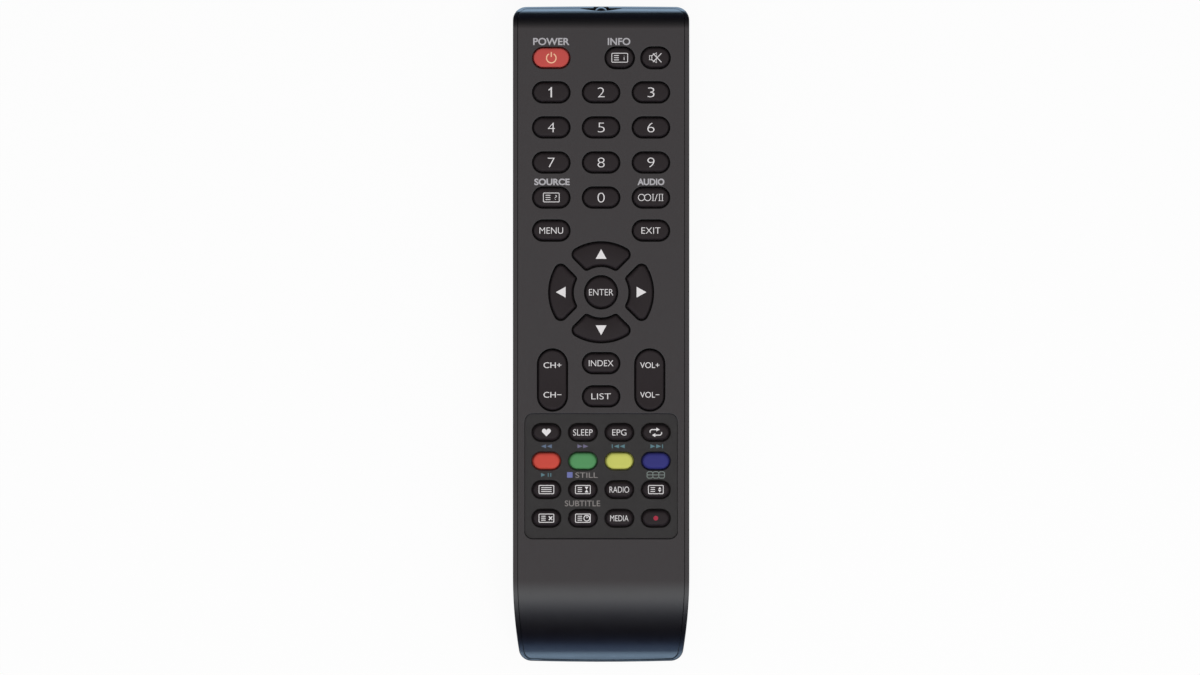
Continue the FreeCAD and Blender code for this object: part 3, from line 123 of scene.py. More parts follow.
@dataclass(frozen=True)
class Finish:
    """A surface: its colour, gloss and the fine grain that its making leaves.

    The grain's size is the distance between its bumps, and its depth is their height. The patch
    and drift sizes are the widths over which colour and gloss change.
    """

    name: str
    colour: str
    roughness: float = 0.5
    ior: float = 1.5
    specular: float = 0.5
    metallic: float = 0.0
    coat: float = 0.0
    grain_size: float = 0.3
    grain_depth: float = 0.004
    mottle: float = 0.06
    patch_size: float = 6.0
    gloss_drift: float = 0.08
    drift_size: float = 3.0
    stretch: tuple[float, float, float] = (1.0, 1.0, 1.0)

    def material(self) -> bpy.types.Material:
        """Give the finish's material, made once."""
        return bpy.data.materials.get(self.name) or self.build()

    def build(self) -> bpy.types.Material:
        """Build the material: mottled colour, drifting gloss and a grain in the bump.

        Returns:
            The new material.
        """
        material = bpy.data.materials.new(self.name)
        material.use_nodes = True
        tree = material.node_tree
        shader = tree.nodes["Principled BSDF"]
        shader.inputs["IOR"].default_value = self.ior
        shader.inputs["Specular IOR Level"].default_value = self.specular
        shader.inputs["Metallic"].default_value = self.metallic
        shader.inputs["Coat Weight"].default_value = self.coat
        place = add_node(tree, "TexCoord").outputs["Object"]
        place = add_node(tree, "Mapping", {"Vector": place, "Scale": self.stretch}).outputs["Vector"]
        tree.links.new(self.paint(tree, place), shader.inputs["Base Color"])
        tree.links.new(self.gloss(tree, place), shader.inputs["Roughness"])
        tree.links.new(self.relief(tree, place), shader.inputs["Normal"])
        return material

    def wander(
        self,
        tree: bpy.types.NodeTree,
        place: Socket,
        size: float,
        detail: float,
        middle: float,
        reach: float,
    ) -> Socket:
        """Give a level that wanders about a middle in soft patches.

        Args:
            tree: the material's node tree.
            place: the place on the piece.
            size: the width of a patch.
            detail: how many finer layers the patches have.
            middle: the middle level.
            reach: how far the level goes up and down from it.

        Returns:
            The level.
        """
        noise = add_node(tree, "TexNoise", {"Vector": place, "Scale": 1 / (size * MM), "Detail": detail})
        ends = {"To Min": middle - reach, "To Max": middle + reach}
        return add_node(tree, "MapRange", {"Value": noise.outputs["Fac"], **ends}).outputs["Result"]

    def paint(self, tree: bpy.types.NodeTree, place: Socket) -> Socket:
        """Give the colour, a little lighter and darker in soft patches.

        Args:
            tree: the material's node tree.
            place: the place on the piece.

        Returns:
            The mottled colour.
        """
        level = self.wander(tree, place, self.patch_size, 3.0, 1.0, self.mottle)
        colour = self.base(tree, place)
        return add_node(tree, "HueSaturation", {"Color": colour, "Value": level}).outputs["Color"]

    def base(self, tree: bpy.types.NodeTree, place: Socket) -> Colour | Socket:
        """Give the plain colour before it is mottled."""
        return linear(self.colour)

    def gloss(self, tree: bpy.types.NodeTree, place: Socket) -> Socket:
        """Give the roughness, which drifts a little."""
        return self.wander(tree, place, self.drift_size, 2.0, self.roughness, self.gloss_drift / 2)

    def relief(self, tree: bpy.types.NodeTree, place: Socket) -> Socket:
        """Give the normal, roughened by the grain.

        Args:
            tree: the material's node tree.
            place: the place on the piece.

        Returns:
            The normal.
        """
        scale = 1 / (self.grain_size * MM)
        grain = add_node(tree, "TexNoise", {"Vector": place, "Scale": scale, "Detail": 2.0})
        height = {"Height": grain.outputs["Fac"], "Distance": self.grain_depth * MM}
        return add_node(tree, "Bump", {**height, "Strength": 1.0}).outputs["Normal"]


@dataclass(frozen=True)
class CaseFinish(Finish):
    """ABS moulded in a spark-eroded tool: a satin face, and a darker, duller let-in panel.

    The panel's box reaches panel_x to both sides and ends panel_under below the panel's floor.
    """

    panel_colour: str = "#100d0a"
    panel_dulling: float = 0.34
    panel_x: float = 22.9
    panel_low: float = -61.0
    panel_high: float = -23.5
    panel_under: float = 1.0

    def base(self, tree: bpy.types.NodeTree, place: Socket) -> Socket:
        """Give the face's colour, and the panel's where the face is let in.

        Args:
            tree: the material's node tree.
            place: the place on the piece.

        Returns:
            The colour.
        """
        colours = {6: linear(self.colour), 7: linear(self.panel_colour)}
        inside = self.inside_panel(tree, place)
        return add_node(tree, "Mix", {"Factor": inside, **colours}, data_type="RGBA").outputs[2]

    def gloss(self, tree: bpy.types.NodeTree, place: Socket) -> Socket:
        """Give the roughness, higher in the panel, whose part of the tool was etched coarser.

        Args:
            tree: the material's node tree.
            place: the place on the piece.

        Returns:
            The roughness.
        """
        face = Finish.gloss(self, tree, place)
        inside = self.inside_panel(tree, place)
        terms = {0: inside, 1: self.panel_dulling, 2: face}
        return add_node(tree, "Math", terms, operation="MULTIPLY_ADD").outputs["Value"]

    def inside_panel(self, tree: bpy.types.NodeTree, place: Socket) -> Socket:
        """Mark the panel's box, whose top lies between the panel's floor and the face.

        Args:
            tree: the material's node tree.
            place: the place on the piece.

        Returns:
            1 inside the box and 0 elsewhere.
        """
        axes = add_node(tree, "SeparateXYZ", {"Vector": place}).outputs
        width = add_node(tree, "Math", {0: axes["X"]}, operation="ABSOLUTE").outputs["Value"]
        limits = (
            (width, self.panel_x, "LESS_THAN"),
            (axes["Y"], self.panel_low, "GREATER_THAN"),
            (axes["Y"], self.panel_high, "LESS_THAN"),
            (axes["Z"], PANEL_FLOOR - self.panel_under, "GREATER_THAN"),
            (axes["Z"], (FACE_HEIGHT + PANEL_FLOOR) / 2, "LESS_THAN"),
        )
        inside = 1.0
        for socket, limit, side in limits:
            test = add_node(tree, "Math", {0: socket, 1: limit * MM}, operation=side).outputs["Value"]
            inside = add_node(tree, "Math", {0: inside, 1: test}, operation="MULTIPLY").outputs["Value"]
        return inside


@dataclass(frozen=True)
class RubberFinish(Finish):
    """Cast silicone rubber: matt and soft to the eye, with its highlights spread wide."""

    ior: float = 1.41
    grain_depth: float = 0.003


@dataclass(frozen=True)
class InkFinish(Finish):
    """Screen-printed epoxy ink: flat and a little chalky, so it never shines with the case."""

    roughness: float = 0.6
    mottle: float = 0.05


@dataclass(frozen=True)
class BoardFinish(Finish):
    """Glass-epoxy laminate under green solder mask, with the copper tracks showing paler."""

    track_colour: str = "#2f7a49"
    track_pitch: float = 1.6
    track_width: float = 0.256

    def base(self, tree: bpy.types.NodeTree, place: Socket) -> Socket:
        """Give the mask's green with pale tracks that run along and across in steps.

        Args:
            tree: the material's node tree.
            place: the place on the piece.

        Returns:
            The colour.
        """
        # The pattern's unit holds four rows, and a gap takes half its width from either side.
        unit = 4 * self.track_pitch
        mask = linear(self.colour)
        colours = {"Color1": mask, "Color2": mask, "Mortar": linear(self.track_colour)}
        sizes = {"Scale": 1 / (unit * MM), "Mortar Size": self.track_width / 2 / unit}
        return add_node(tree, "TexBrick", {"Vector": place, **colours, **sizes}).outputs["Color"]


@dataclass(frozen=True)
class JacketFinish(Finish):
    """Printed plastic sleeve of a cell: dark over most of its length and coppery at the plus end."""

    band_colour: str = "#9a6a32"
    band_start: float = -45.0
    towards_head: bool = True

    def base(self, tree: bpy.types.NodeTree, place: Socket) -> Socket:
        """Give the sleeve's colour with its coppery band.

        Args:
            tree: the material's node tree.
            place: the place on the piece.

        Returns:
            The colour.
        """
        along = add_node(tree, "SeparateXYZ", {"Vector": place}).outputs["Y"]
        side = "GREATER_THAN" if self.towards_head else "LESS_THAN"
        band = add_node(tree, "Math", {0: along, 1: self.band_start * MM}, operation=side).outputs[0]
        colours = {6: linear(self.colour), 7: linear(self.band_colour)}
        return add_node(tree, "Mix", {"Factor": band, **colours}, data_type="RGBA").outputs[2]


# Satin ABS: nearly black in itself, and grey where it mirrors the light above it. The eroded
# grain is finer than this in life, and is drawn as coarse as it needs to show.
CASE = CaseFinish("abs_moulded_satin", "#0d0b0e", roughness=0.22, specular=1.0, grain_size=0.22)
# Black rubber looks darker than the case, because it mirrors less of the light above.
RUBBER = RubberFinish("silicone_cast_black", "#211a1c")
# Rubber coloured through: the reds are warm, green and yellow milky, and blue nearly as dark as
# the black keys.
POWER = RubberFinish("silicone_cast_red", "#c24b45")
RED = RubberFinish("silicone_cast_scarlet", "#c64639")
GREEN = RubberFinish("silicone_cast_green", "#4f8e59")
YELLOW = RubberFinish("silicone_cast_yellow", "#c4c662")
BLUE = RubberFinish("silicone_cast_blue", "#2b2c73")
# White ink is the brightest thing on the face, and the case's own labels are a shade greyer.
WHITE_INK = InkFinish("ink_printed_white", "#e2dfe0", mottle=0.04)
LABEL_INK = InkFinish("ink_printed_grey", "#b3b1b5", mottle=0.04)
# Dim and tinted inks keep the second functions behind the keys to the eye.
DIM_INK = InkFinish("ink_printed_dim", "#8b8684")
SLATE_INK = InkFinish("ink_printed_slate", "#5f7088")
VIOLET_INK = InkFinish("ink_printed_violet", "#6e6a85")
TEAL_INK = InkFinish("ink_printed_teal", "#5a7d86")
SIZE_INK = InkFinish("ink_printed_sage", "#828d88")
BLUE_INK = InkFinish("ink_printed_blue", "#6a70a8")
# Peach ink makes a pale sign on the red key, and red ink a dark dot on a black one.
PEACH_INK = InkFinish("ink_printed_peach", "#f4c09c", mottle=0.04)
RED_INK = InkFinish("ink_printed_red", "#a3243c", mottle=0.04)
# Masked laminate: deep green and half glossy, with a net of paler lines.
BOARD = BoardFinish("laminate_masked_green", "#14502c", roughness=0.35)
# Printed sleeves: smooth dark plastic with a coppery band, which lie head to tail.
LEFT_JACKET = JacketFinish("sleeve_printed_left", "#1d1f24", roughness=0.25, mottle=0.03)
RIGHT_JACKET = JacketFinish(
    "sleeve_printed_right", "#1d1f24", roughness=0.25, band_start=-66.0, towards_head=False
)
# Nickel on rolled strip: warm pale metal, with the grain drawn out along the rolling lines.
NICKEL = Finish(
    "steel_nickel_plated", "#cfccc4", roughness=0.3, metallic=1.0, stretch=(0.2, 1.0, 1.0)
)
# Zinc plate: cooler and a little duller metal with a fine grain.
ZINC = Finish("steel_zinc_plated", "#b9bcc2", roughness=0.35, metallic=1.0, grain_size=0.15)
# Cast tinted epoxy: smooth as glass and nearly black, with one sharp highlight.
RESIN = Finish("epoxy_cast_smoky", "#0f1219", roughness=0.08, ior=1.55, coat=0.4, grain_depth=0.0005)
# Moulded epoxy: dull charcoal with a fine grain.
PACKAGE = Finish("epoxy_moulded_black", "#1b1b1c", roughness=0.65, grain_size=0.15)
# Dipped ceramic: bright blue under a thin glossy skin.
CERAMIC = Finish("ceramic_dipped_blue", "#2a5f9a", roughness=0.3, coat=0.3)
# Drawn aluminium in a shrunk sleeve: smooth slate blue plastic.
CAN = Finish("aluminium_drawn_sleeved", "#2b2f45", roughness=0.3)


def add_object(name: str, data: bpy.types.ID) -> bpy.types.Object:
    """Put an object in the scene.

    Args:
        name: the object's name.
        data: its mesh, lamp or camera.

    Returns:
        The new object.
    """
    thing = bpy.data.objects.new(name, data)
    bpy.context.scene.collection.objects.link(thing)
    return thing


def add_mesh(name: str, form: bmesh.types.BMesh, material: bpy.types.Material) -> bpy.types.Object:
    """Turn a finished bmesh to an object in the scene.

    Args:
        name: the object's name.
        form: the mesh, freed here.
        material: its material.

    Returns:
        The new object.
    """
    mesh = bpy.data.meshes.new(name)
    form.to_mesh(mesh)
    form.free()
    mesh.materials.append(material)
    return add_object(name, mesh)


def add_piece(
    name: str, form: bmesh.types.BMesh, body: str, finish: Finish, sharp: float = 35.0
) -> bpy.types.Object:
    """Turn a finished bmesh to a piece that rides on a body.

    Args:
        name: the piece's name.
        form: the mesh in the frame's place, freed here.
        body: the CAD body that it moves with.
        finish: the finish of its surface.
        sharp: the angle in degrees past which an edge is drawn sharp.

    Returns:
        The new object.
    """
    for face in form.faces:
        face.smooth = True
    for edge in form.edges:
        if edge.calc_face_angle(0) > math.radians(sharp):
            edge.smooth = False
    piece = add_mesh(name, form, finish.material())
    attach(piece, body)
    log.info("piece %s", name)
    return piece


def copy_node(node: str) -> bmesh.types.BMesh:
    """Give a merged copy of a CAD node's mesh whose flat faces are whole again.

    Args:
        node: the node.

    Returns:
        The copy, with no edge marked sharp.
    """
    form = bmesh.new()
    form.from_mesh(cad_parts[node].data)
    bmesh.ops.remove_doubles(form, verts=form.verts, dist=MERGE_DISTANCE * MM)
    flat = math.radians(FLAT_DEGREES)
    bmesh.ops.dissolve_limit(form, angle_limit=flat, verts=form.verts, edges=form.edges)
    for edge in form.edges:
        edge.smooth = True
    return form


def cut_across(
    form: bmesh.types.BMesh,
    faces: Iterable[bmesh.types.BMFace],
    place: Vector,
    direction: Vector,
    unit: float = MM,
) -> None:
    """Cut faces of a mesh where a plane crosses them.

    Args:
        form: the mesh.
        faces: its faces to cut.
        place: a point of the plane.
        direction: the plane's normal.
        unit: what a millimetre is in the mesh.
    """
    # The mesh's own order of its parts makes the cut the same in every run.
    chosen = set(faces)
    borders = {part for face in chosen for part in (*face.edges, *face.verts)}
    parts = [part for part in (*form.verts, *form.edges) if part in borders]
    parts += [face for face in form.faces if face in chosen]
    bmesh.ops.bisect_plane(
        form, geom=parts, dist=CUT_TOLERANCE * unit, plane_co=place, plane_no=direction
    )


def round_edges(form: bmesh.types.BMesh, edges: list[bmesh.types.BMEdge], radius: float, steps: int) -> None:
    """Round edges of a mesh.

    Args:
        form: the mesh.
        edges: its edges to round.
        radius: the radius.
        steps: how many faces the rounding has across.
    """
    corners = list({vertex for edge in edges for vertex in edge.verts})
    bmesh.ops.bevel(
        form,
        geom=corners + edges,
        offset=radius * MM,
        offset_type="OFFSET",
        affect="EDGES",
        segments=steps,
        profile=0.5,
        material=-1,
        clamp_overlap=False,
    )


def middle_of(node: str) -> Vector:
    """Give the middle of a CAD node's box in millimetres."""
    low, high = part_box(node)
    return (low + high) / 2 / MM


class Crown(Enum):
    """How the top of a key is crowned."""

    BUTTON = "button"
    PILLOW = "pillow"
    ARROW = "arrow"
    ROCKER = "rocker"


@dataclass(frozen=True)
class CapForm:
    """The form of a key's cap above its place on the face.

    middle_x and middle_y are the middle of the crown, and top is its height.
    """

    crown: Crown
    middle_x: float
    middle_y: float
    top: float
    pillow_radius: float = 60.0
    button_radius: float = 40.0
    arrow_radius: float = 20.0
    arrow_ring: float = 11.35
    rocker_half_length: float = 9.0
    rocker_dish: float = 0.3

    def height(self, x: float, y: float) -> float:
        """Give the height of the crowned top at a place.

        Args:
            x: the place across the case.
            y: the place along the case.

        Returns:
            The height above the underside.
        """
        across = x - self.middle_x
        along = y - self.middle_y
        if self.crown is Crown.ARROW:
            off_ring = math.hypot(across, along) - self.arrow_ring
            return self.top - off_ring**2 / (2 * self.arrow_radius)
        if self.crown is Crown.ROCKER:
            share = min(1.0, abs(along) / self.rocker_half_length)
            dish = self.rocker_dish * (1 - share**2)
            return self.top - dish - across**2 / (2 * self.pillow_radius)
        radius = self.button_radius if self.crown is Crown.BUTTON else self.pillow_radius
        return self.top - (across**2 + along**2) / (2 * radius)


@dataclass
class Print:
    """Ink in relief: words and signs that are drawn flat about a middle and laid on a surface.

    letter_height is the height of a capital in the typeface's own units, and cut_pitch the
    distance between the cuts that let the ink follow a crown.
    """

    ink_height: float = 0.03
    letter_height: float = 0.7
    cut_pitch: float = 0.7
    ring_step: float = 15.0
    page_corner: float = 0.18
    page_line: float = 0.23
    page_margin: float = 0.65
    page_rows: int = 3
    row_line: float = 0.22
    row_margin: float = 0.7
    form: bmesh.types.BMesh = field(default_factory=bmesh.new)

    def add_curve(self, curve: bpy.types.Curve, place: Matrix) -> "Print":
        """Add a curve or a text as a mesh, put in place first.

        Args:
            curve: the curve, removed here.
            place: its place, turn and size on the print.

        Returns:
            The print itself.
        """
        carrier = bpy.data.objects.new(curve.name, curve)
        mesh = bpy.data.meshes.new_from_object(carrier)
        mesh.transform(place)
        self.form.from_mesh(mesh)
        bpy.data.objects.remove(carrier)
        bpy.data.meshes.remove(mesh)
        bpy.data.curves.remove(curve)
        return self

    def word(
        self, text: str, height: float, width: float, x: float = 0.0, y: float = 0.0, weight: float = 0.0
    ) -> "Print":
        """Draw a word.

        Args:
            text: its letters.
            height: the height of its capitals.
            width: the width that the whole word takes.
            x: its middle across.
            y: its middle along.
            weight: how much bolder than the plain letter it is, as a share of the letter size.

        Returns:
            The print itself.
        """
        curve = bpy.data.curves.new("word", "FONT")
        curve.body = text
        curve.offset = weight
        curve.extrude = self.ink_height * self.letter_height / height / 2
        carrier = bpy.data.objects.new("word", curve)
        trial = bpy.data.meshes.new_from_object(carrier)
        low = min(vertex.co.x for vertex in trial.vertices)
        high = max(vertex.co.x for vertex in trial.vertices)
        bpy.data.objects.remove(carrier)
        bpy.data.meshes.remove(trial)
        scale_y = height / self.letter_height
        size = Matrix.Diagonal((width / (high - low), scale_y, scale_y, 1))
        start = Matrix.Translation((-(low + high) / 2, -self.letter_height / 2, 0))
        return self.add_curve(curve, Matrix.Translation((x, y, 0)) @ size @ start)

    def trace(
        self, curve: bpy.types.Curve, points: list[Place], closed: bool = True, flatness: float = 1.0
    ) -> "Print":
        """Run a curve through points and add it.

        Args:
            curve: the curve with its settings.
            points: the places that it passes.
            closed: whether it comes back to its start.
            flatness: by how much its height is scaled.

        Returns:
            The print itself.
        """
        spline = curve.splines.new("POLY")
        spline.points.add(len(points) - 1)
        for point, (x, y) in zip(spline.points, points):
            point.co = (x, y, 0, 1)
        spline.use_cyclic_u = closed
        return self.add_curve(curve, Matrix.Diagonal((1, 1, flatness, 1)))

    def line(self, points: list[Place], width: float, closed: bool = False) -> "Print":
        """Draw a line through points.

        Args:
            points: places that the line's middle passes.
            width: the line's width.
            closed: whether it comes back to its start.

        Returns:
            The print itself.
        """
        curve = bpy.data.curves.new("line", "CURVE")
        curve.dimensions = "3D"
        curve.bevel_depth = width / 2
        curve.bevel_resolution = 1
        curve.use_fill_caps = True
        return self.trace(curve, points, closed, self.ink_height / width)

    def patch(self, points: list[Place]) -> "Print":
        """Fill an outline.

        Args:
            points: its corners.

        Returns:
            The print itself.
        """
        curve = bpy.data.curves.new("patch", "CURVE")
        curve.dimensions = "2D"
        curve.fill_mode = "BOTH"
        curve.extrude = self.ink_height / 2
        return self.trace(curve, points)

    def ring_points(
        self, x: float, y: float, radius: float, start: float = 0.0, turn: float = 360.0
    ) -> list[Place]:
        """Give places along a ring or a part of one.

        Args:
            x: its middle across.
            y: its middle along.
            radius: its radius.
            start: the bearing in degrees at which it starts.
            turn: the angle in degrees that it goes through.

        Returns:
            The places, without the first one again at the end of a whole ring.
        """
        steps = round(turn / self.ring_step)
        count = steps if turn >= 360 else steps + 1
        bearings = [math.radians(start + turn * index / steps) for index in range(count)]
        return [(x + radius * math.cos(b), y + radius * math.sin(b)) for b in bearings]

    def ring(self, x: float, y: float, radius: float, width: float) -> "Print":
        """Draw a whole ring."""
        return self.line(self.ring_points(x, y, radius), width, closed=True)

    def disc(self, x: float, y: float, radius: float) -> "Print":
        """Fill a disc."""
        return self.patch(self.ring_points(x, y, radius))

    def triangle(self, x: float, y: float, length: float, width: float, bearing: float) -> "Print":
        """Fill a triangle.

        Args:
            x: its middle across.
            y: its middle along.
            length: its length from the base to the point.
            width: its width at the base.
            bearing: the direction in degrees in which it points.

        Returns:
            The print itself.
        """
        cos, sin = math.cos(math.radians(bearing)), math.sin(math.radians(bearing))
        corners = ((length / 2, 0.0), (-length / 2, width / 2), (-length / 2, -width / 2))
        return self.patch([(x + a * cos - b * sin, y + a * sin + b * cos) for a, b in corners])

    def bar(self, x: float, y: float, width: float, height: float) -> "Print":
        """Fill an upright rectangle."""
        a, b = width / 2, height / 2
        return self.patch([(x - a, y - b), (x + a, y - b), (x + a, y + b), (x - a, y + b)])

    def outline(self, x: float, width: float, height: float, corner: float, line: float) -> "Print":
        """Draw an upright frame whose corners are cut.

        Args:
            x: its middle across.
            width: its width.
            height: its height.
            corner: how much of each side a corner takes.
            line: the line's width.

        Returns:
            The print itself.
        """
        side, end = width / 2, height / 2
        half = [(-side + corner, -end), (side - corner, -end), (side, -end + corner), (side, end - corner)]
        return self.line([(x + s * a, s * b) for s in (1, -1) for a, b in half], line, closed=True)

    def page(self, width: float, height: float, fill: float) -> "Print":
        """Draw the framed page of the text signs.

        Args:
            width: the frame's width.
            height: the frame's height.
            fill: the share of the frame's width that its rows take, from the left.

        Returns:
            The print itself.
        """
        self.outline(0.0, width, height, self.page_corner, self.page_line)
        left = -width / 2 + self.page_margin
        end = left + (width - 2 * self.page_margin) * fill
        for row in range(self.page_rows):
            y = (row - (self.page_rows - 1) / 2) * (height - self.row_margin) / self.page_rows
            self.line([(left, y), (end, y)], self.row_line)
        return self

    def cut(self, axis: int) -> None:
        """Cut the print across one axis every cut_pitch, so that it can follow a crown.

        Args:
            axis: 0 for X or 1 for Y.
        """
        low = min(vertex.co[axis] for vertex in self.form.verts)
        high = max(vertex.co[axis] for vertex in self.form.verts)
        for step in range(math.ceil(low / self.cut_pitch), math.ceil(high / self.cut_pitch)):
            place = AXES[axis] * step * self.cut_pitch
            cut_across(self.form, self.form.faces, place, AXES[axis], unit=1.0)

    def lay(
        self, name: str, body: str, ink: Finish, middle: Place, surface: Callable[[float, float], float]
    ) -> None:
        """Lay the print on a surface as a piece of its own.

        Args:
            name: the piece's name.
            body: the CAD body that it moves with.
            ink: its finish.
            middle: where its middle lies.
            surface: the height of the surface at a place.
        """
        self.cut(0)
        self.cut(1)
        for vertex in self.form.verts:
            x = middle[0] + vertex.co.x
            y = middle[1] + vertex.co.y
            vertex.co = Vector((x, y, surface(x, y) + vertex.co.z)) * MM
        add_piece(name, self.form, body, ink)


Drawer = Callable[[Print], object]


def draw_power(sign: Print) -> None:
    """Draw the power sign: an open ring with a bar."""
    sign.line(sign.ring_points(0, -0.1, 1.42, start=120, turn=300), 0.34)
    sign.line([(0, 1.7), (0, 0.25)], 0.34)


def draw_one(sign: Print) -> None:
    """Draw the digit one: a stem with a flag."""
    stem = [(-0.21, -1.52), (0.21, -1.52), (0.21, 1.52), (-0.1, 1.52)]
    sign.patch(stem + [(-0.35, 1.12), (-0.82, 0.84), (-0.82, 0.48), (-0.21, 0.78)])


def draw_mute(sign: Print) -> None:
    """Draw a loudspeaker that is crossed out.

    Args:
        sign: the print that gets it.
    """
    upper = [(-1.8, 0.6), (-1.1, 0.6), (0.3, 1.5)]
    sign.line(upper + [(x, -y) for x, y in reversed(upper)], 0.22, closed=True)
    sign.line([(-1.1, 0.55), (-1.1, -0.55)], 0.2)
    sign.line([(-0.75, 1.3), (1.75, -1.35)], 0.24)
    sign.line([(-0.75, -1.3), (1.75, 1.35)], 0.24)


def draw_sound(sign: Print) -> None:
    """Draw the sound sign: two rings and the numerals I and II.

    Args:
        sign: the print that gets it.
    """
    for x in (-2.8, -0.98):
        sign.ring(x, 0, 0.95, 0.2)
    for x in (0.62, 2.55, 3.4):
        sign.line([(x, -0.95), (x, 0.95)], 0.2)
    for low, high in ((0.3, 0.94), (2.25, 3.7)):
        for y in (0.98, -0.98):
            sign.line([(low, y), (high, y)], 0.12)
    sign.line([(1.2, -1.1), (1.9, 1.05)], 0.18)


def draw_heart(sign: Print) -> None:
    """Draw a filled heart: two round lobes over a point.

    Args:
        sign: the print that gets it.
    """
    lobe = 0.66
    turns = [math.radians(bearing) for bearing in range(-40, 161, 20)]
    side = [(lobe + lobe * math.cos(turn), 0.42 + lobe * math.sin(turn)) for turn in turns]
    sign.patch([(0.0, -1.2)] + side + [(-x, y) for x, y in reversed(side)])


def draw_repeat(sign: Print) -> None:
    """Draw two arrows that chase each other round.

    Args:
        sign: the print that gets it.
    """
    for side in (1, -1):
        path = [(-1.7, -0.1), (-1.7, 0.45), (-1.3, 0.83), (0.3, 0.83)]
        sign.line([(side * x, side * y) for x, y in path], 0.3)
        sign.triangle(side * 0.65, side * 0.83, 1.0, 1.15, 90 - side * 90)


def draw_arrow(bearing: float) -> Drawer:
    """Give the drawer of an arrowhead that points along a bearing in degrees."""
    return lambda sign: sign.triangle(0, 0, 2.9, 3.2, bearing)


def draw_page_sign(mark: str) -> Drawer:
    """Give the drawer of a framed page with a mark at its right.

    Args:
        mark: a letter or sign, one of the words hold, size and clock, or nothing.

    Returns:
        A function that draws it.
    """

    def draw(sign: Print) -> None:
        """Draw the page and its mark.

        Args:
            sign: the print that gets them.
        """
        width, height = (4.7, 2.65) if mark in ("i", "?") else (4.4, 2.45)
        sign.page(width, height, 0.42 if mark else 1.0)
        if mark == "hold":
            sign.triangle(1.1, 0.42, 0.85, 1.1, -90).triangle(1.1, -0.42, 0.85, 1.1, 90)
        elif mark == "size":
            sign.triangle(1.15, 0.45, 0.7, 0.95, 90).triangle(1.15, -0.45, 0.7, 0.95, -90)
        elif mark == "clock":
            sign.ring(1.15, 0, 0.85, 0.24)
            sign.line([(1.6, 0.5), (1.15, 0), (1.15, 0.5)], 0.2)
        elif mark == "x":
            sign.line([(0.75, 0.55), (1.75, -0.55)], 0.3)
            sign.line([(0.75, -0.55), (1.75, 0.55)], 0.3)
        elif mark:
            sign.word(mark, 1.5, 0.26 if mark == "i" else 0.75, 1.3, 0.0, weight=-0.02)

    return draw


@dataclass(frozen=True)
class Legend:
    """What is printed on a key: words, or a sign that a function draws.

    A word is its text, its height, its width and how far along from the key's middle it stands.
    """

    words: tuple[tuple[str, float, float, float], ...] = ()
    draw: Drawer | None = None
    ink: Finish = WHITE_INK
    x: float = 0.0
    y: float = 0.0
    weight: float = 0.0


def word_legend(text: str, height: float, width: float, weight: float = -0.008) -> Legend:
    """Give a legend of one word in the middle of a key."""
    return Legend(words=((text, height, width, 0.0),), weight=weight)


DIGITS = ("zero", "one", "two", "three", "four", "five", "six", "seven", "eight", "nine")
LEGENDS = {
    "key_power": Legend(draw=draw_power, ink=PEACH_INK),
    "key_info": Legend(draw=draw_page_sign("i")),
    "key_mute": Legend(draw=draw_mute),
    "key_source": Legend(draw=draw_page_sign("?")),
    "key_audio": Legend(draw=draw_sound),
    "key_menu": word_legend("MENU", 1.95, 7.0),
    "key_exit": word_legend("EXIT", 1.95, 5.65),
    "key_enter": word_legend("ENTER", 1.95, 7.2),
    "key_index": word_legend("INDEX", 1.85, 7.3),
    "key_list": word_legend("LIST", 1.8, 5.8),
    "rocker_channel": Legend(words=(("CH+", 1.7, 5.3, 4.4), ("CH−", 1.7, 5.3, -4.4))),
    "rocker_volume": Legend(words=(("VOL+", 1.7, 5.7, 4.4), ("VOL−", 1.7, 5.7, -4.4))),
    "key_favourite": Legend(draw=draw_heart),
    "key_sleep": word_legend("SLEEP", 1.9, 5.8),
    "key_guide": word_legend("EPG", 1.85, 4.2),
    "key_repeat": Legend(draw=draw_repeat),
    "key_page": Legend(draw=draw_page_sign("")),
    "key_hold": Legend(draw=draw_page_sign("hold")),
    "key_radio": word_legend("RADIO", 1.85, 5.8),
    "key_magnify": Legend(draw=draw_page_sign("size")),
    "key_cancel": Legend(draw=draw_page_sign("x")),
    "key_clock": Legend(draw=draw_page_sign("clock")),
    "key_media": word_legend("MEDIA", 1.8, 5.4),
    "key_record": Legend(draw=lambda sign: sign.disc(0, 0, 0.7), ink=RED_INK),
    "key_up": Legend(draw=draw_arrow(90), y=11.35),
    "key_down": Legend(draw=draw_arrow(-90), y=-11.3),
    "key_left": Legend(draw=draw_arrow(180), x=-12.0),
    "key_right": Legend(draw=draw_arrow(0), x=12.0),
}
LEGENDS |= {f"key_{name}": word_legend(str(value), 3.05, 2.1, -0.018) for value, name in enumerate(DIGITS)}
LEGENDS["key_one"] = Legend(draw=draw_one)


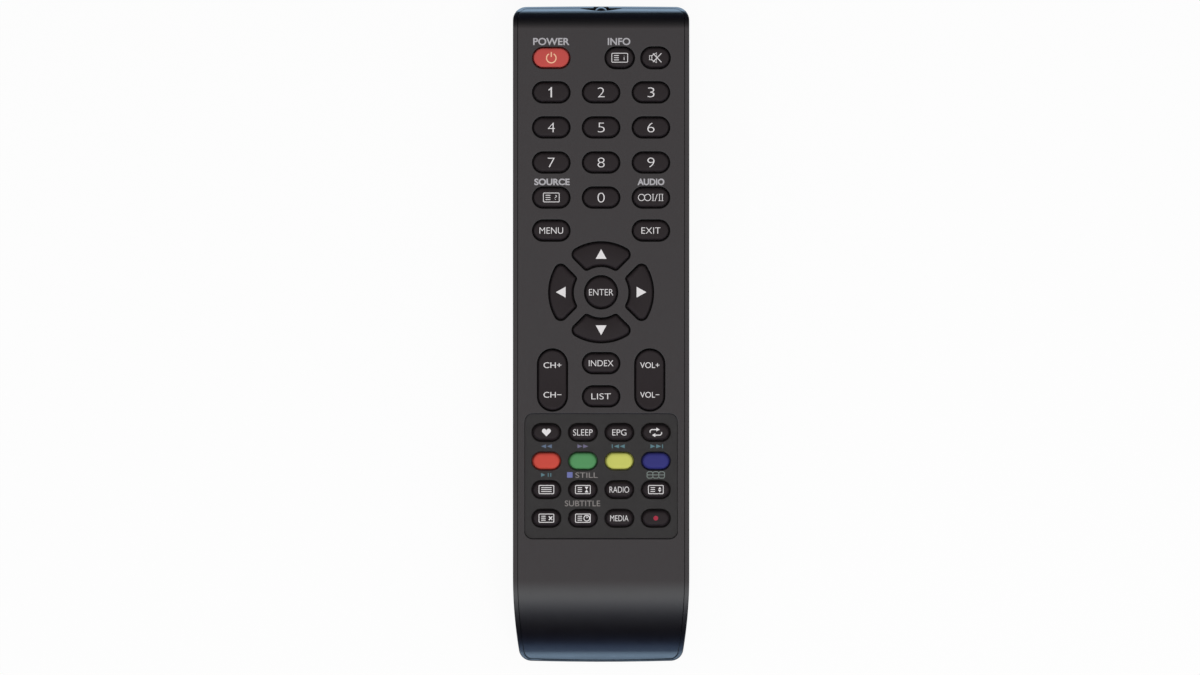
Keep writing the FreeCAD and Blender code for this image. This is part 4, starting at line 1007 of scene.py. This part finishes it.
@dataclass
class KeyField:
    """The keys: silicone caps with rounded rims and crowned tops, and what is printed on them.

    Keys that stand lower than panel_top are the panel's, and their rims are rounder. The crown
    moves what lies less than crown_depth under a key's level top.
    """

    rim_radius: float = 0.5
    panel_rim_radius: float = 0.8
    panel_top: float = 22.0
    rim_steps: int = 4
    cut_pitch: float = 1.0
    crown_depth: float = 1.1
    finishes: dict[str, Finish] = field(
        default_factory=lambda: {
            "key_power": POWER,
            "key_red": RED,
            "key_green": GREEN,
            "key_yellow": YELLOW,
            "key_blue": BLUE,
        }
    )

    def build(self) -> None:
        """Build every key and its print."""
        nodes = [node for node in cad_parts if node.startswith(("key_", "rocker_"))]
        for node in nodes:
            cap = self.cap_form(node)
            self.build_key(node, cap)
            if node in LEGENDS:
                self.print_legend(node, cap, LEGENDS[node])

    def cap_form(self, node: str) -> CapForm:
        """Give the form of a key's top from its CAD box.

        Args:
            node: the key's node.

        Returns:
            The form, about the middle of the pad for an arrow key.
        """
        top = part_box(node)[1].z / MM - Print.ink_height
        crown, middle = Crown.PILLOW, middle_of(node)
        if node in ("key_up", "key_down", "key_left", "key_right"):
            crown, middle = Crown.ARROW, middle_of("key_enter")
        elif node.startswith("rocker_"):
            crown = Crown.ROCKER
        elif node == "key_enter":
            crown = Crown.BUTTON
        return CapForm(crown, middle.x, middle.y, top)

    def build_key(self, node: str, cap: CapForm) -> None:
        """Build one key from its CAD form: round the rim, cut the top finely and crown it.

        Args:
            node: the key's node.
            cap: the form of its top.
        """
        form = copy_node(node)
        low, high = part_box(node)
        rim = self.faces_at(form, high.z)
        edges = [edge for edge in form.edges if sum(face in rim for face in edge.link_faces) == 1]
        radius = self.panel_rim_radius if high.z < self.panel_top * MM else self.rim_radius
        round_edges(form, edges, radius, self.rim_steps)
        for axis in (0, 1):
            self.cut_top(form, high.z, axis, low[axis], high[axis])
        for vertex in form.verts:
            if vertex.co.z > high.z - self.crown_depth * MM:
                drop = high.z / MM - cap.height(vertex.co.x / MM, vertex.co.y / MM)
                vertex.co.z -= drop * MM
        piece = add_piece(f"{node}_cap", form, node, self.finishes.get(node, RUBBER))
        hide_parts(node)

    def faces_at(self, form: bmesh.types.BMesh, height: float) -> set[bmesh.types.BMFace]:
        """Find the level faces of a mesh at a height.

        Args:
            form: the mesh.
            height: the height in metres.

        Returns:
            The faces.
        """
        level = [face for face in form.faces if face.normal.z > LEVEL]
        return {face for face in level if abs(face.calc_center_median().z - height) < SAME_HEIGHT * MM}

    def cut_top(self, form: bmesh.types.BMesh, top: float, axis: int, low: float, high: float) -> None:
        """Cut the level top across one axis every cut_pitch.

        Args:
            form: the key's mesh.
            top: the height of its level top in metres.
            axis: 0 for cuts across X and 1 for cuts across Y.
            low: where the key starts on that axis in metres.
            high: where it ends.
        """
        steps = int((high - low) / (self.cut_pitch * MM))
        for step in range(1, steps):
            place = AXES[axis] * (low + (high - low) * step / steps)
            cut_across(form, self.faces_at(form, top), place, AXES[axis])

    def print_legend(self, node: str, cap: CapForm, legend: Legend) -> None:
        """Print a key's legend on its crowned top.

        Args:
            node: the key's node.
            cap: the form of its top.
            legend: what is printed.
        """
        sign = Print()
        for text, height, width, y in legend.words:
            sign.word(text, height, width, 0.0, y, legend.weight)
        if legend.draw:
            legend.draw(sign)
        middle = (cap.middle_x + legend.x, cap.middle_y + legend.y)
        sign.lay(f"{node}_print", node, legend.ink, middle, cap.height)


@dataclass(frozen=True)
class Label:
    """A word on the case: its size, and its place from the middle of the key that it belongs to."""

    key: str
    text: str
    height: float
    width: float
    x: float
    y: float
    ink: Finish = LABEL_INK
    weight: float = 0.02


@dataclass
class FaceLabels:
    """The words and the small tape signs that are printed on the case beside the keys.

    row_gap is how far under its key a tape sign stands, and twin_step how far the two triangles
    of a sign stand from its middle.
    """

    row_gap: float = 4.15
    sign_height: float = 1.15
    twin_step: float = 0.85
    words: dict[str, Label] = field(
        default_factory=lambda: {
            "label_power": Label("key_power", "POWER", 2.05, 10.8, 0.0, 4.85),
            "label_info": Label("key_info", "INFO", 2.05, 6.7, -0.2, 4.85),
            "label_source": Label("key_source", "SOURCE", 1.8, 10.5, 0.2, 4.65, weight=0.035),
            "label_audio": Label("key_audio", "AUDIO", 1.8, 8.0, 0.0, 4.65, weight=0.035),
            "label_still": Label("key_green", "STILL", 1.6, 6.6, 1.1, -4.2, DIM_INK, 0.0),
            "label_subtitle": Label("key_hold", "SUBTITLE", 1.7, 10.5, -0.1, -4.1, DIM_INK, 0.0),
        }
    )

    def build(self) -> None:
        """Print every word and sign."""
        for name, label in self.words.items():
            sign = Print().word(label.text, label.height, label.width, weight=label.weight)
            self.lay(sign, name, label.key, label.x, label.y, label.ink)
        self.twin_signs()
        self.single_signs()

    def lay(self, sign: Print, name: str, key: str, x: float, y: float, ink: Finish) -> None:
        """Lay a sign on the case beside a key.

        Args:
            sign: what is printed.
            name: the piece's name.
            key: the key that it belongs to.
            x: how far to the right of the key's middle it stands.
            y: how far towards the head from the key's middle it stands.
            ink: its finish.
        """
        middle = middle_of(key)
        level = PANEL_FLOOR if middle.y < CASE.panel_high else FACE_HEIGHT
        sign.lay(name, "case", ink, (middle.x + x, middle.y + y), lambda _x, _y: level)

    def twin_signs(self) -> None:
        """Print the signs of two triangles, some with a bar, under the panel's first row."""
        signs = {
            "sign_back": ("key_favourite", 180, 0.0, SLATE_INK),
            "sign_forward": ("key_sleep", 0, 0.0, VIOLET_INK),
            "sign_first": ("key_guide", 180, -2.1, TEAL_INK),
            "sign_last": ("key_repeat", 0, 2.0, TEAL_INK),
        }
        for name, (key, bearing, bar, ink) in signs.items():
            sign = Print()
            for x in (-self.twin_step, self.twin_step):
                sign.triangle(x, 0, 1.5, self.sign_height, bearing)
            if bar:
                sign.bar(bar, 0, 0.26, self.sign_height)
            self.lay(sign, name, key, 0, -self.row_gap, ink)

    def single_signs(self) -> None:
        """Print the play and stop signs and the three screen shapes under the coloured keys."""
        play = Print().triangle(-0.95, 0, 1.25, self.sign_height, 0).bar(0.55, 0, 0.28, 1.1)
        self.lay(play.bar(1.3, 0, 0.28, 1.1), "sign_play", "key_red", 0, -self.row_gap, TEAL_INK)
        stop = Print().bar(0, 0, 1.65, 1.65)
        self.lay(stop, "sign_stop", "key_green", -3.88, -self.row_gap, BLUE_INK)
        shapes = Print().line([(-2.6, 0), (2.6, 0)], 0.2)
        for x in (-1.75, 0.0, 1.75):
            shapes.outline(x, 1.7, 1.9, 0.35, 0.22)
        self.lay(shapes, "sign_shape", "key_blue", 0, -self.row_gap, SIZE_INK)


@dataclass
class Housing:
    """The two case halves: the CAD forms with the small radii that a moulding tool leaves.

    seam_x and seam_y bound the upper half's outline, which is the seam. A lean is the upright
    part of a face's normal: wall_lean is the most that a wall has, upright_lean the most that an
    upright one has, face_lean the least that the key face has, and crease_lean how much the two
    walls of a sharp crease differ.
    """

    edge_radius: float = 0.3
    edge_steps: int = 3
    seam_radius: float = 0.12
    seam_steps: int = 2
    seam_x: float = 23.05
    seam_y: float = 94.0
    wall_lean: float = 0.3
    upright_lean: float = 0.1
    face_lean: float = 0.5
    crease_lean: float = 0.2
    lowest_edge: float = 8.0
    sharp: float = 40.0
    face_weight: int = 80

    def build(self) -> None:
        """Build both halves, with a finer radius along the seam between them."""
        for node in ("top_case", "bottom_case"):
            form = copy_node(node)
            edges = self.face_edges(form)
            seam = [edge for edge in edges if self.is_seam(node, edge)]
            others = [edge for edge in edges if edge not in seam]
            round_edges(form, others, self.edge_radius, self.edge_steps)
            seam = [edge for edge in seam if edge.is_valid]
            round_edges(form, seam, self.seam_radius, self.seam_steps)
            for edge in form.edges:
                edge.smooth = not self.is_crease(edge)
            piece = add_piece(f"{node}_moulding", form, "case", CASE, self.sharp)
            weigh = piece.modifiers.new("level faces stay level", "WEIGHTED_NORMAL")
            weigh.keep_sharp = True
            weigh.weight = self.face_weight
            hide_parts(node)

    def is_seam(self, node: str, edge: bmesh.types.BMEdge) -> bool:
        """Tell whether an edge borders the seam between the halves.

        Args:
            node: the half that the edge is on.
            edge: the edge.

        Returns:
            True for the rim's inner edge on the lower half, and the outline of the upper one.
        """
        wall = min(edge.link_faces, key=lambda face: abs(face.normal.z))
        place = edge.verts[0].co
        if node == "bottom_case":
            return wall.normal.x * place.x + wall.normal.y * place.y < 0
        return abs(place.x) > self.seam_x * MM or abs(place.y) > self.seam_y * MM

    def is_crease(self, edge: bmesh.types.BMEdge) -> bool:
        """Tell whether an edge is one where the wall of an end starts to lean inward.

        Args:
            edge: the edge.

        Returns:
            True where both its faces are walls and lean differently.
        """
        if len(edge.link_faces) != 2:
            return False
        low, high = sorted(abs(face.normal.z) for face in edge.link_faces)
        return high < self.wall_lean and high - low > self.crease_lean

    def face_edges(self, form: bmesh.types.BMesh) -> list[bmesh.types.BMEdge]:
        """Find the outward edges between the key face and the walls that go down from it.

        Args:
            form: the half's mesh.

        Returns:
            The edges.
        """
        chosen = []
        for edge in form.edges:
            if len(edge.link_faces) != 2 or not edge.is_convex:
                continue
            lean = min(abs(face.normal.z) for face in edge.link_faces)
            rise = max(face.normal.z for face in edge.link_faces)
            foot = min(vertex.co.z for vertex in edge.verts)
            if lean < self.upright_lean and rise > self.face_lean and foot > self.lowest_edge * MM:
                chosen.append(edge)
        return chosen


@dataclass
class Insides:
    """The parts under the face and in the battery bay, dressed in their own materials."""

    cross_width: float = 0.6
    cross_length: float = 2.6
    cross_depth: float = 0.9
    finishes: dict[str, Finish] = field(
        default_factory=lambda: {
            "battery_cover": CASE,
            "circuit_board": BOARD,
            "keypad_mat": RUBBER,
            "cell_left": LEFT_JACKET,
            "cell_right": RIGHT_JACKET,
            "positive_terminal": NICKEL,
            "negative_terminal": NICKEL,
            "battery_link": NICKEL,
            "infrared_emitter": RESIN,
            "controller_chip": PACKAGE,
            "ceramic_resonator": CERAMIC,
            "filter_capacitor": CAN,
        }
    )

    def build(self) -> None:
        """Give every carried-over node its material and cut the screw's cross."""
        for node, finish in self.finishes.items():
            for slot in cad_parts[node].material_slots:
                slot.material = finish.material()
            log.info("dressed %s", node)
        self.cut_screw()

    def cut_screw(self) -> None:
        """Cut the cross for the screwdriver into a copy of the screw's head."""
        form = copy_node("case_screw")
        low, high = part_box("case_screw")
        middle = (low + high) / 2
        for direction in AXES:
            for reach in (-self.cross_length, -self.cross_width, self.cross_width, self.cross_length):
                head = [face for face in form.faces if face.normal.z < -LEVEL]
                cut_across(form, head, middle + direction * reach / 2 * MM, direction)
        cross = [face for face in form.faces if self.in_cross(face, low, middle)]
        grown = bmesh.ops.extrude_face_region(form, geom=cross)["geom"]
        bmesh.ops.delete(form, geom=cross, context="FACES")
        sunk = [part for part in grown if isinstance(part, bmesh.types.BMVert)]
        bmesh.ops.translate(form, verts=sunk, vec=(0, 0, self.cross_depth * MM))
        piece = add_piece("case_screw_cross_head", form, "case", ZINC)
        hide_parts("case_screw")

    def in_cross(self, face: bmesh.types.BMFace, low: Vector, middle: Vector) -> bool:
        """Tell whether a face of the cut head lies in the cross.

        Args:
            face: the face.
            low: the lowest corner of the screw's box.
            middle: the middle of the screw's box.

        Returns:
            True where the face is level, at the head's outside and within an arm of the cross.
        """
        centre = face.calc_center_median()
        across, along = sorted((abs(centre.x - middle.x) / MM, abs(centre.y - middle.y) / MM))
        outside = face.normal.z < -LEVEL and centre.z < low.z + SAME_HEIGHT * MM
        return outside and across < self.cross_width / 2 and along < self.cross_length / 2


@dataclass
class Studio:
    """The floor, the light and the camera.

    The world mirrors as a long soft box overhead with a brighter strip towards the tail, dark
    walls and a pale floor, and it lights matt surfaces evenly.
    """

    floor_size: float = 6000.0
    floor_drop: float = 0.05
    floor_white: float = 0.93
    # Where its bands are white, the floor glows this strongly to glossy rays only: painted light for the
    # ends to mirror.
    floor_gloss: float = 3.3
    floor_tint: str = "#bedfff"
    paper_colour: str = "#e8e8e8"
    # Beside and under the object, the mirrored floor glows plain and dim with this strength and colour.
    side_gloss: float = 0.45
    side_colour: str = "#e4e6e8"
    # The floor's bands fade to the plain side between these two slopes of X against Y.
    band_slope: float = 0.25
    side_slope: float = 0.35
    even_light: float = 0.62
    gloss_light: float = 1.25
    lamp_power: float = 3.2
    lamp_width: float = 500.0
    lamp_length: float = 350.0
    lamp_place: tuple[float, float, float] = (100.0, -450.0, 750.0)
    camera_distance: float = 7000.0
    camera_reach: float = 100000.0
    camera_x: float = -0.33
    camera_y: float = -0.97
    frame_pixels: float = 1200.0
    pixels_per_mm: float = 3.3655
    # From the horizon beyond the head (0) over the zenith (0.5) to the one beyond the tail (1):
    # a dim wall, the soft box overhead, a bright strip, a dark gap and a window's cool light.
    sky_bands: tuple[tuple[float, str], ...] = (
        (0.0, "#30384a"), (0.1, "#1f273a"), (0.22, "#27292e"), (0.339, "#636262"),
        (0.467, "#aba3a4"), (0.53, "#cbc4c5"), (0.55, "#e4e5e8"), (0.6, "#fcfdff"),
        (0.627, "#f8faff"), (0.647, "#d2d5dc"), (0.725, "#73767f"), (0.789, "#45484f"),
        (0.84, "#10121c"), (0.92, "#262f46"), (0.972, "#7492c4"), (1.0, "#a8c6f6"),
    )
    # From 350 mm towards the tail from the middle (0) to 210 mm towards the head (1): strips of painted
    # light beyond both ends, with a dim stretch between them that is painted shadow of the object on the
    # floor.
    band_start: float = -350.0
    band_end: float = 210.0
    floor_bands: tuple[tuple[float, str], ...] = (
        (0.0, "#989898"), (0.16, "#bbbbbb"), (0.268, "#ffffff"), (0.357, "#ffffff"),
        (0.41, "#4f4f4f"), (0.8, "#4f4f4f"), (0.827, "#dadada"), (0.848, "#f0f0f0"),
        (0.868, "#acacac"), (0.893, "#646464"), (0.964, "#2a2a2a"),
    )

    def build(self) -> None:
        """Build the stage and hang the camera straight above the face."""
        self.build_floor()
        self.build_world()
        self.build_lamp()
        self.build_camera()
        bpy.context.scene.view_settings.view_transform = "Standard"

    def build_floor(self) -> None:
        """Lay a pale floor that shows nearly white and keeps the object's shadow."""
        form = bmesh.new()
        bmesh.ops.create_grid(form, x_segments=1, y_segments=1, size=self.floor_size / 2 * MM)
        floor = add_mesh("floor", form, self.floor_material())
        floor.location.z = -self.floor_drop * MM

    def floor_material(self) -> bpy.types.Material:
        """Make the floor's matt paper: white when seen, banded with painted light and painted shadow when
        mirrored, clear from below.

        Returns:
            The material.
        """
        material = bpy.data.materials.new("paper_matt_white")
        material.use_nodes = True
        tree = material.node_tree
        tree.nodes.clear()
        path = add_node(tree, "LightPath").outputs
        matt = add_node(tree, "BsdfDiffuse", {"Color": linear(self.paper_colour)}).outputs[0]
        white = add_node(tree, "Emission", {"Color": linear("#ffffff"), "Strength": 1.0}).outputs[0]
        seen = add_node(tree, "MixShader", {0: self.floor_white, 1: matt, 2: white}).outputs[0]
        direct = add_node(tree, "MixShader", {0: path["Is Camera Ray"], 1: matt, 2: seen}).outputs[0]
        rays = {0: path["Is Glossy Ray"], 1: path["Is Transmission Ray"]}
        mirror = add_node(tree, "Math", rays, operation="MAXIMUM").outputs[0]
        bands = self.mirrored_floor(tree)
        above = add_node(tree, "MixShader", {0: mirror, 1: direct, 2: bands}).outputs[0]
        below = add_node(tree, "NewGeometry").outputs["Backfacing"]
        clear = add_node(tree, "BsdfTransparent").outputs[0]
        sides = add_node(tree, "MixShader", {0: below, 1: above, 2: clear}).outputs[0]
        add_node(tree, "OutputMaterial", {"Surface": sides})
        return material

    def mirrored_floor(self, tree: bpy.types.NodeTree) -> Socket:
        """Make what glossy surfaces mirror of the floor: bands of painted light beyond both ends, and
        painted shadow of the object between them.

        Args:
            tree: the floor's node tree.

        Returns:
            The light of the floor, plain under the object and to its sides.
        """
        place = add_node(tree, "TexCoord").outputs["Object"]
        axes = add_node(tree, "SeparateXYZ", {"Vector": place}).outputs
        ends = {"From Min": self.band_start * MM, "From Max": self.band_end * MM}
        share = add_node(tree, "MapRange", {"Value": axes["Y"], **ends}).outputs["Result"]
        # The ramp paints light beyond both ends and the object's shadow around it. Only glossy surfaces see
        # it.
        bands = add_node(tree, "ValToRGB", {0: share}, stops=self.floor_bands).outputs["Color"]
        colours = {"Factor": 1.0, 6: bands, 7: linear(self.floor_tint)}
        tint = add_node(tree, "Mix", colours, data_type="RGBA", blend_type="MULTIPLY").outputs[2]
        bright = add_node(tree, "Emission", {"Color": tint, "Strength": self.floor_gloss}).outputs[0]
        side = {"Color": linear(self.side_colour), "Strength": self.side_gloss}
        plain = add_node(tree, "Emission", side).outputs[0]
        slope = add_node(tree, "Math", {0: axes["X"], 1: axes["Y"]}, operation="DIVIDE").outputs[0]
        spread = add_node(tree, "Math", {0: slope}, operation="ABSOLUTE").outputs[0]
        slopes = {"From Min": self.band_slope, "From Max": self.side_slope}
        aside = add_node(tree, "MapRange", {"Value": spread, **slopes}).outputs["Result"]
        reach = add_node(tree, "Math", {0: axes["Y"]}, operation="ABSOLUTE").outputs[0]
        half_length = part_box("bottom_case")[1].y
        under = add_node(tree, "Math", {0: reach, 1: half_length}, operation="LESS_THAN").outputs[0]
        dull = add_node(tree, "Math", {0: aside, 1: under}, operation="MAXIMUM").outputs[0]
        return add_node(tree, "MixShader", {0: dull, 1: bright, 2: plain}).outputs[0]

    def build_world(self) -> None:
        """Build the world: white to the camera, even to matt surfaces, a studio to glossy ones."""
        world = bpy.data.worlds.new("studio")
        bpy.context.scene.world = world
        world.use_nodes = True
        tree = world.node_tree
        tree.nodes.clear()
        direction = add_node(tree, "TexCoord").outputs["Generated"]
        axes = add_node(tree, "SeparateXYZ", {"Vector": direction}).outputs
        lean = add_node(tree, "Math", {0: axes["Y"], 1: axes["Z"]}, operation="ARCTAN2").outputs[0]
        ends = {"From Min": math.pi / 2, "From Max": -math.pi / 2}
        share = add_node(tree, "MapRange", {"Value": lean, **ends}).outputs["Result"]
        bands = add_node(tree, "ValToRGB", {0: share}, stops=self.sky_bands).outputs["Color"]
        path = add_node(tree, "LightPath").outputs
        level = self.even_light / self.gloss_light
        white = 1 / self.gloss_light
        lit = {"Factor": path["Is Glossy Ray"], 6: (level, level, level, 1.0), 7: bands}
        even = add_node(tree, "Mix", lit, data_type="RGBA").outputs[2]
        shown = {"Factor": path["Is Camera Ray"], 6: even, 7: (white, white, white, 1.0)}
        colour = add_node(tree, "Mix", shown, data_type="RGBA").outputs[2]
        light = add_node(tree, "Background", {"Color": colour, "Strength": self.gloss_light})
        add_node(tree, "OutputWorld", {"Surface": light.outputs[0]})

    def build_lamp(self) -> None:
        """Hang a large soft lamp beyond the tail, which draws soft shadows towards the head."""
        lamp = bpy.data.lights.new("soft_box", "AREA")
        lamp.shape = "RECTANGLE"
        lamp.size = self.lamp_width * MM
        lamp.size_y = self.lamp_length * MM
        lamp.energy = self.lamp_power
        box = add_object("soft_box", lamp)
        box.location = Vector(self.lamp_place) * MM
        box.rotation_mode = "QUATERNION"
        box.rotation_quaternion = box.location.to_track_quat("Z", "Y")
        box.visible_glossy = False

    def build_camera(self) -> None:
        """Hang the camera straight above, far enough to draw the case without perspective."""
        data = bpy.data.cameras.new("camera")
        width = self.frame_pixels / self.pixels_per_mm
        data.lens = data.sensor_width * self.camera_distance / width
        data.clip_end = self.camera_reach * MM
        camera = add_object("camera", data)
        height = self.camera_distance + FACE_HEIGHT
        camera.location = Vector((self.camera_x, self.camera_y, height)) * MM
        bpy.context.scene.camera = camera


def main() -> None:
    """Build the studio, then the remote control's pieces in it."""
    logging.basicConfig(level=logging.INFO, format="%(name)s: %(message)s")
    for part in (Studio(), Housing(), KeyField(), FaceLabels(), Insides()):
        part.build()
        log.info("%s is built", type(part).__name__)


if __name__ == "__main__":
    main()
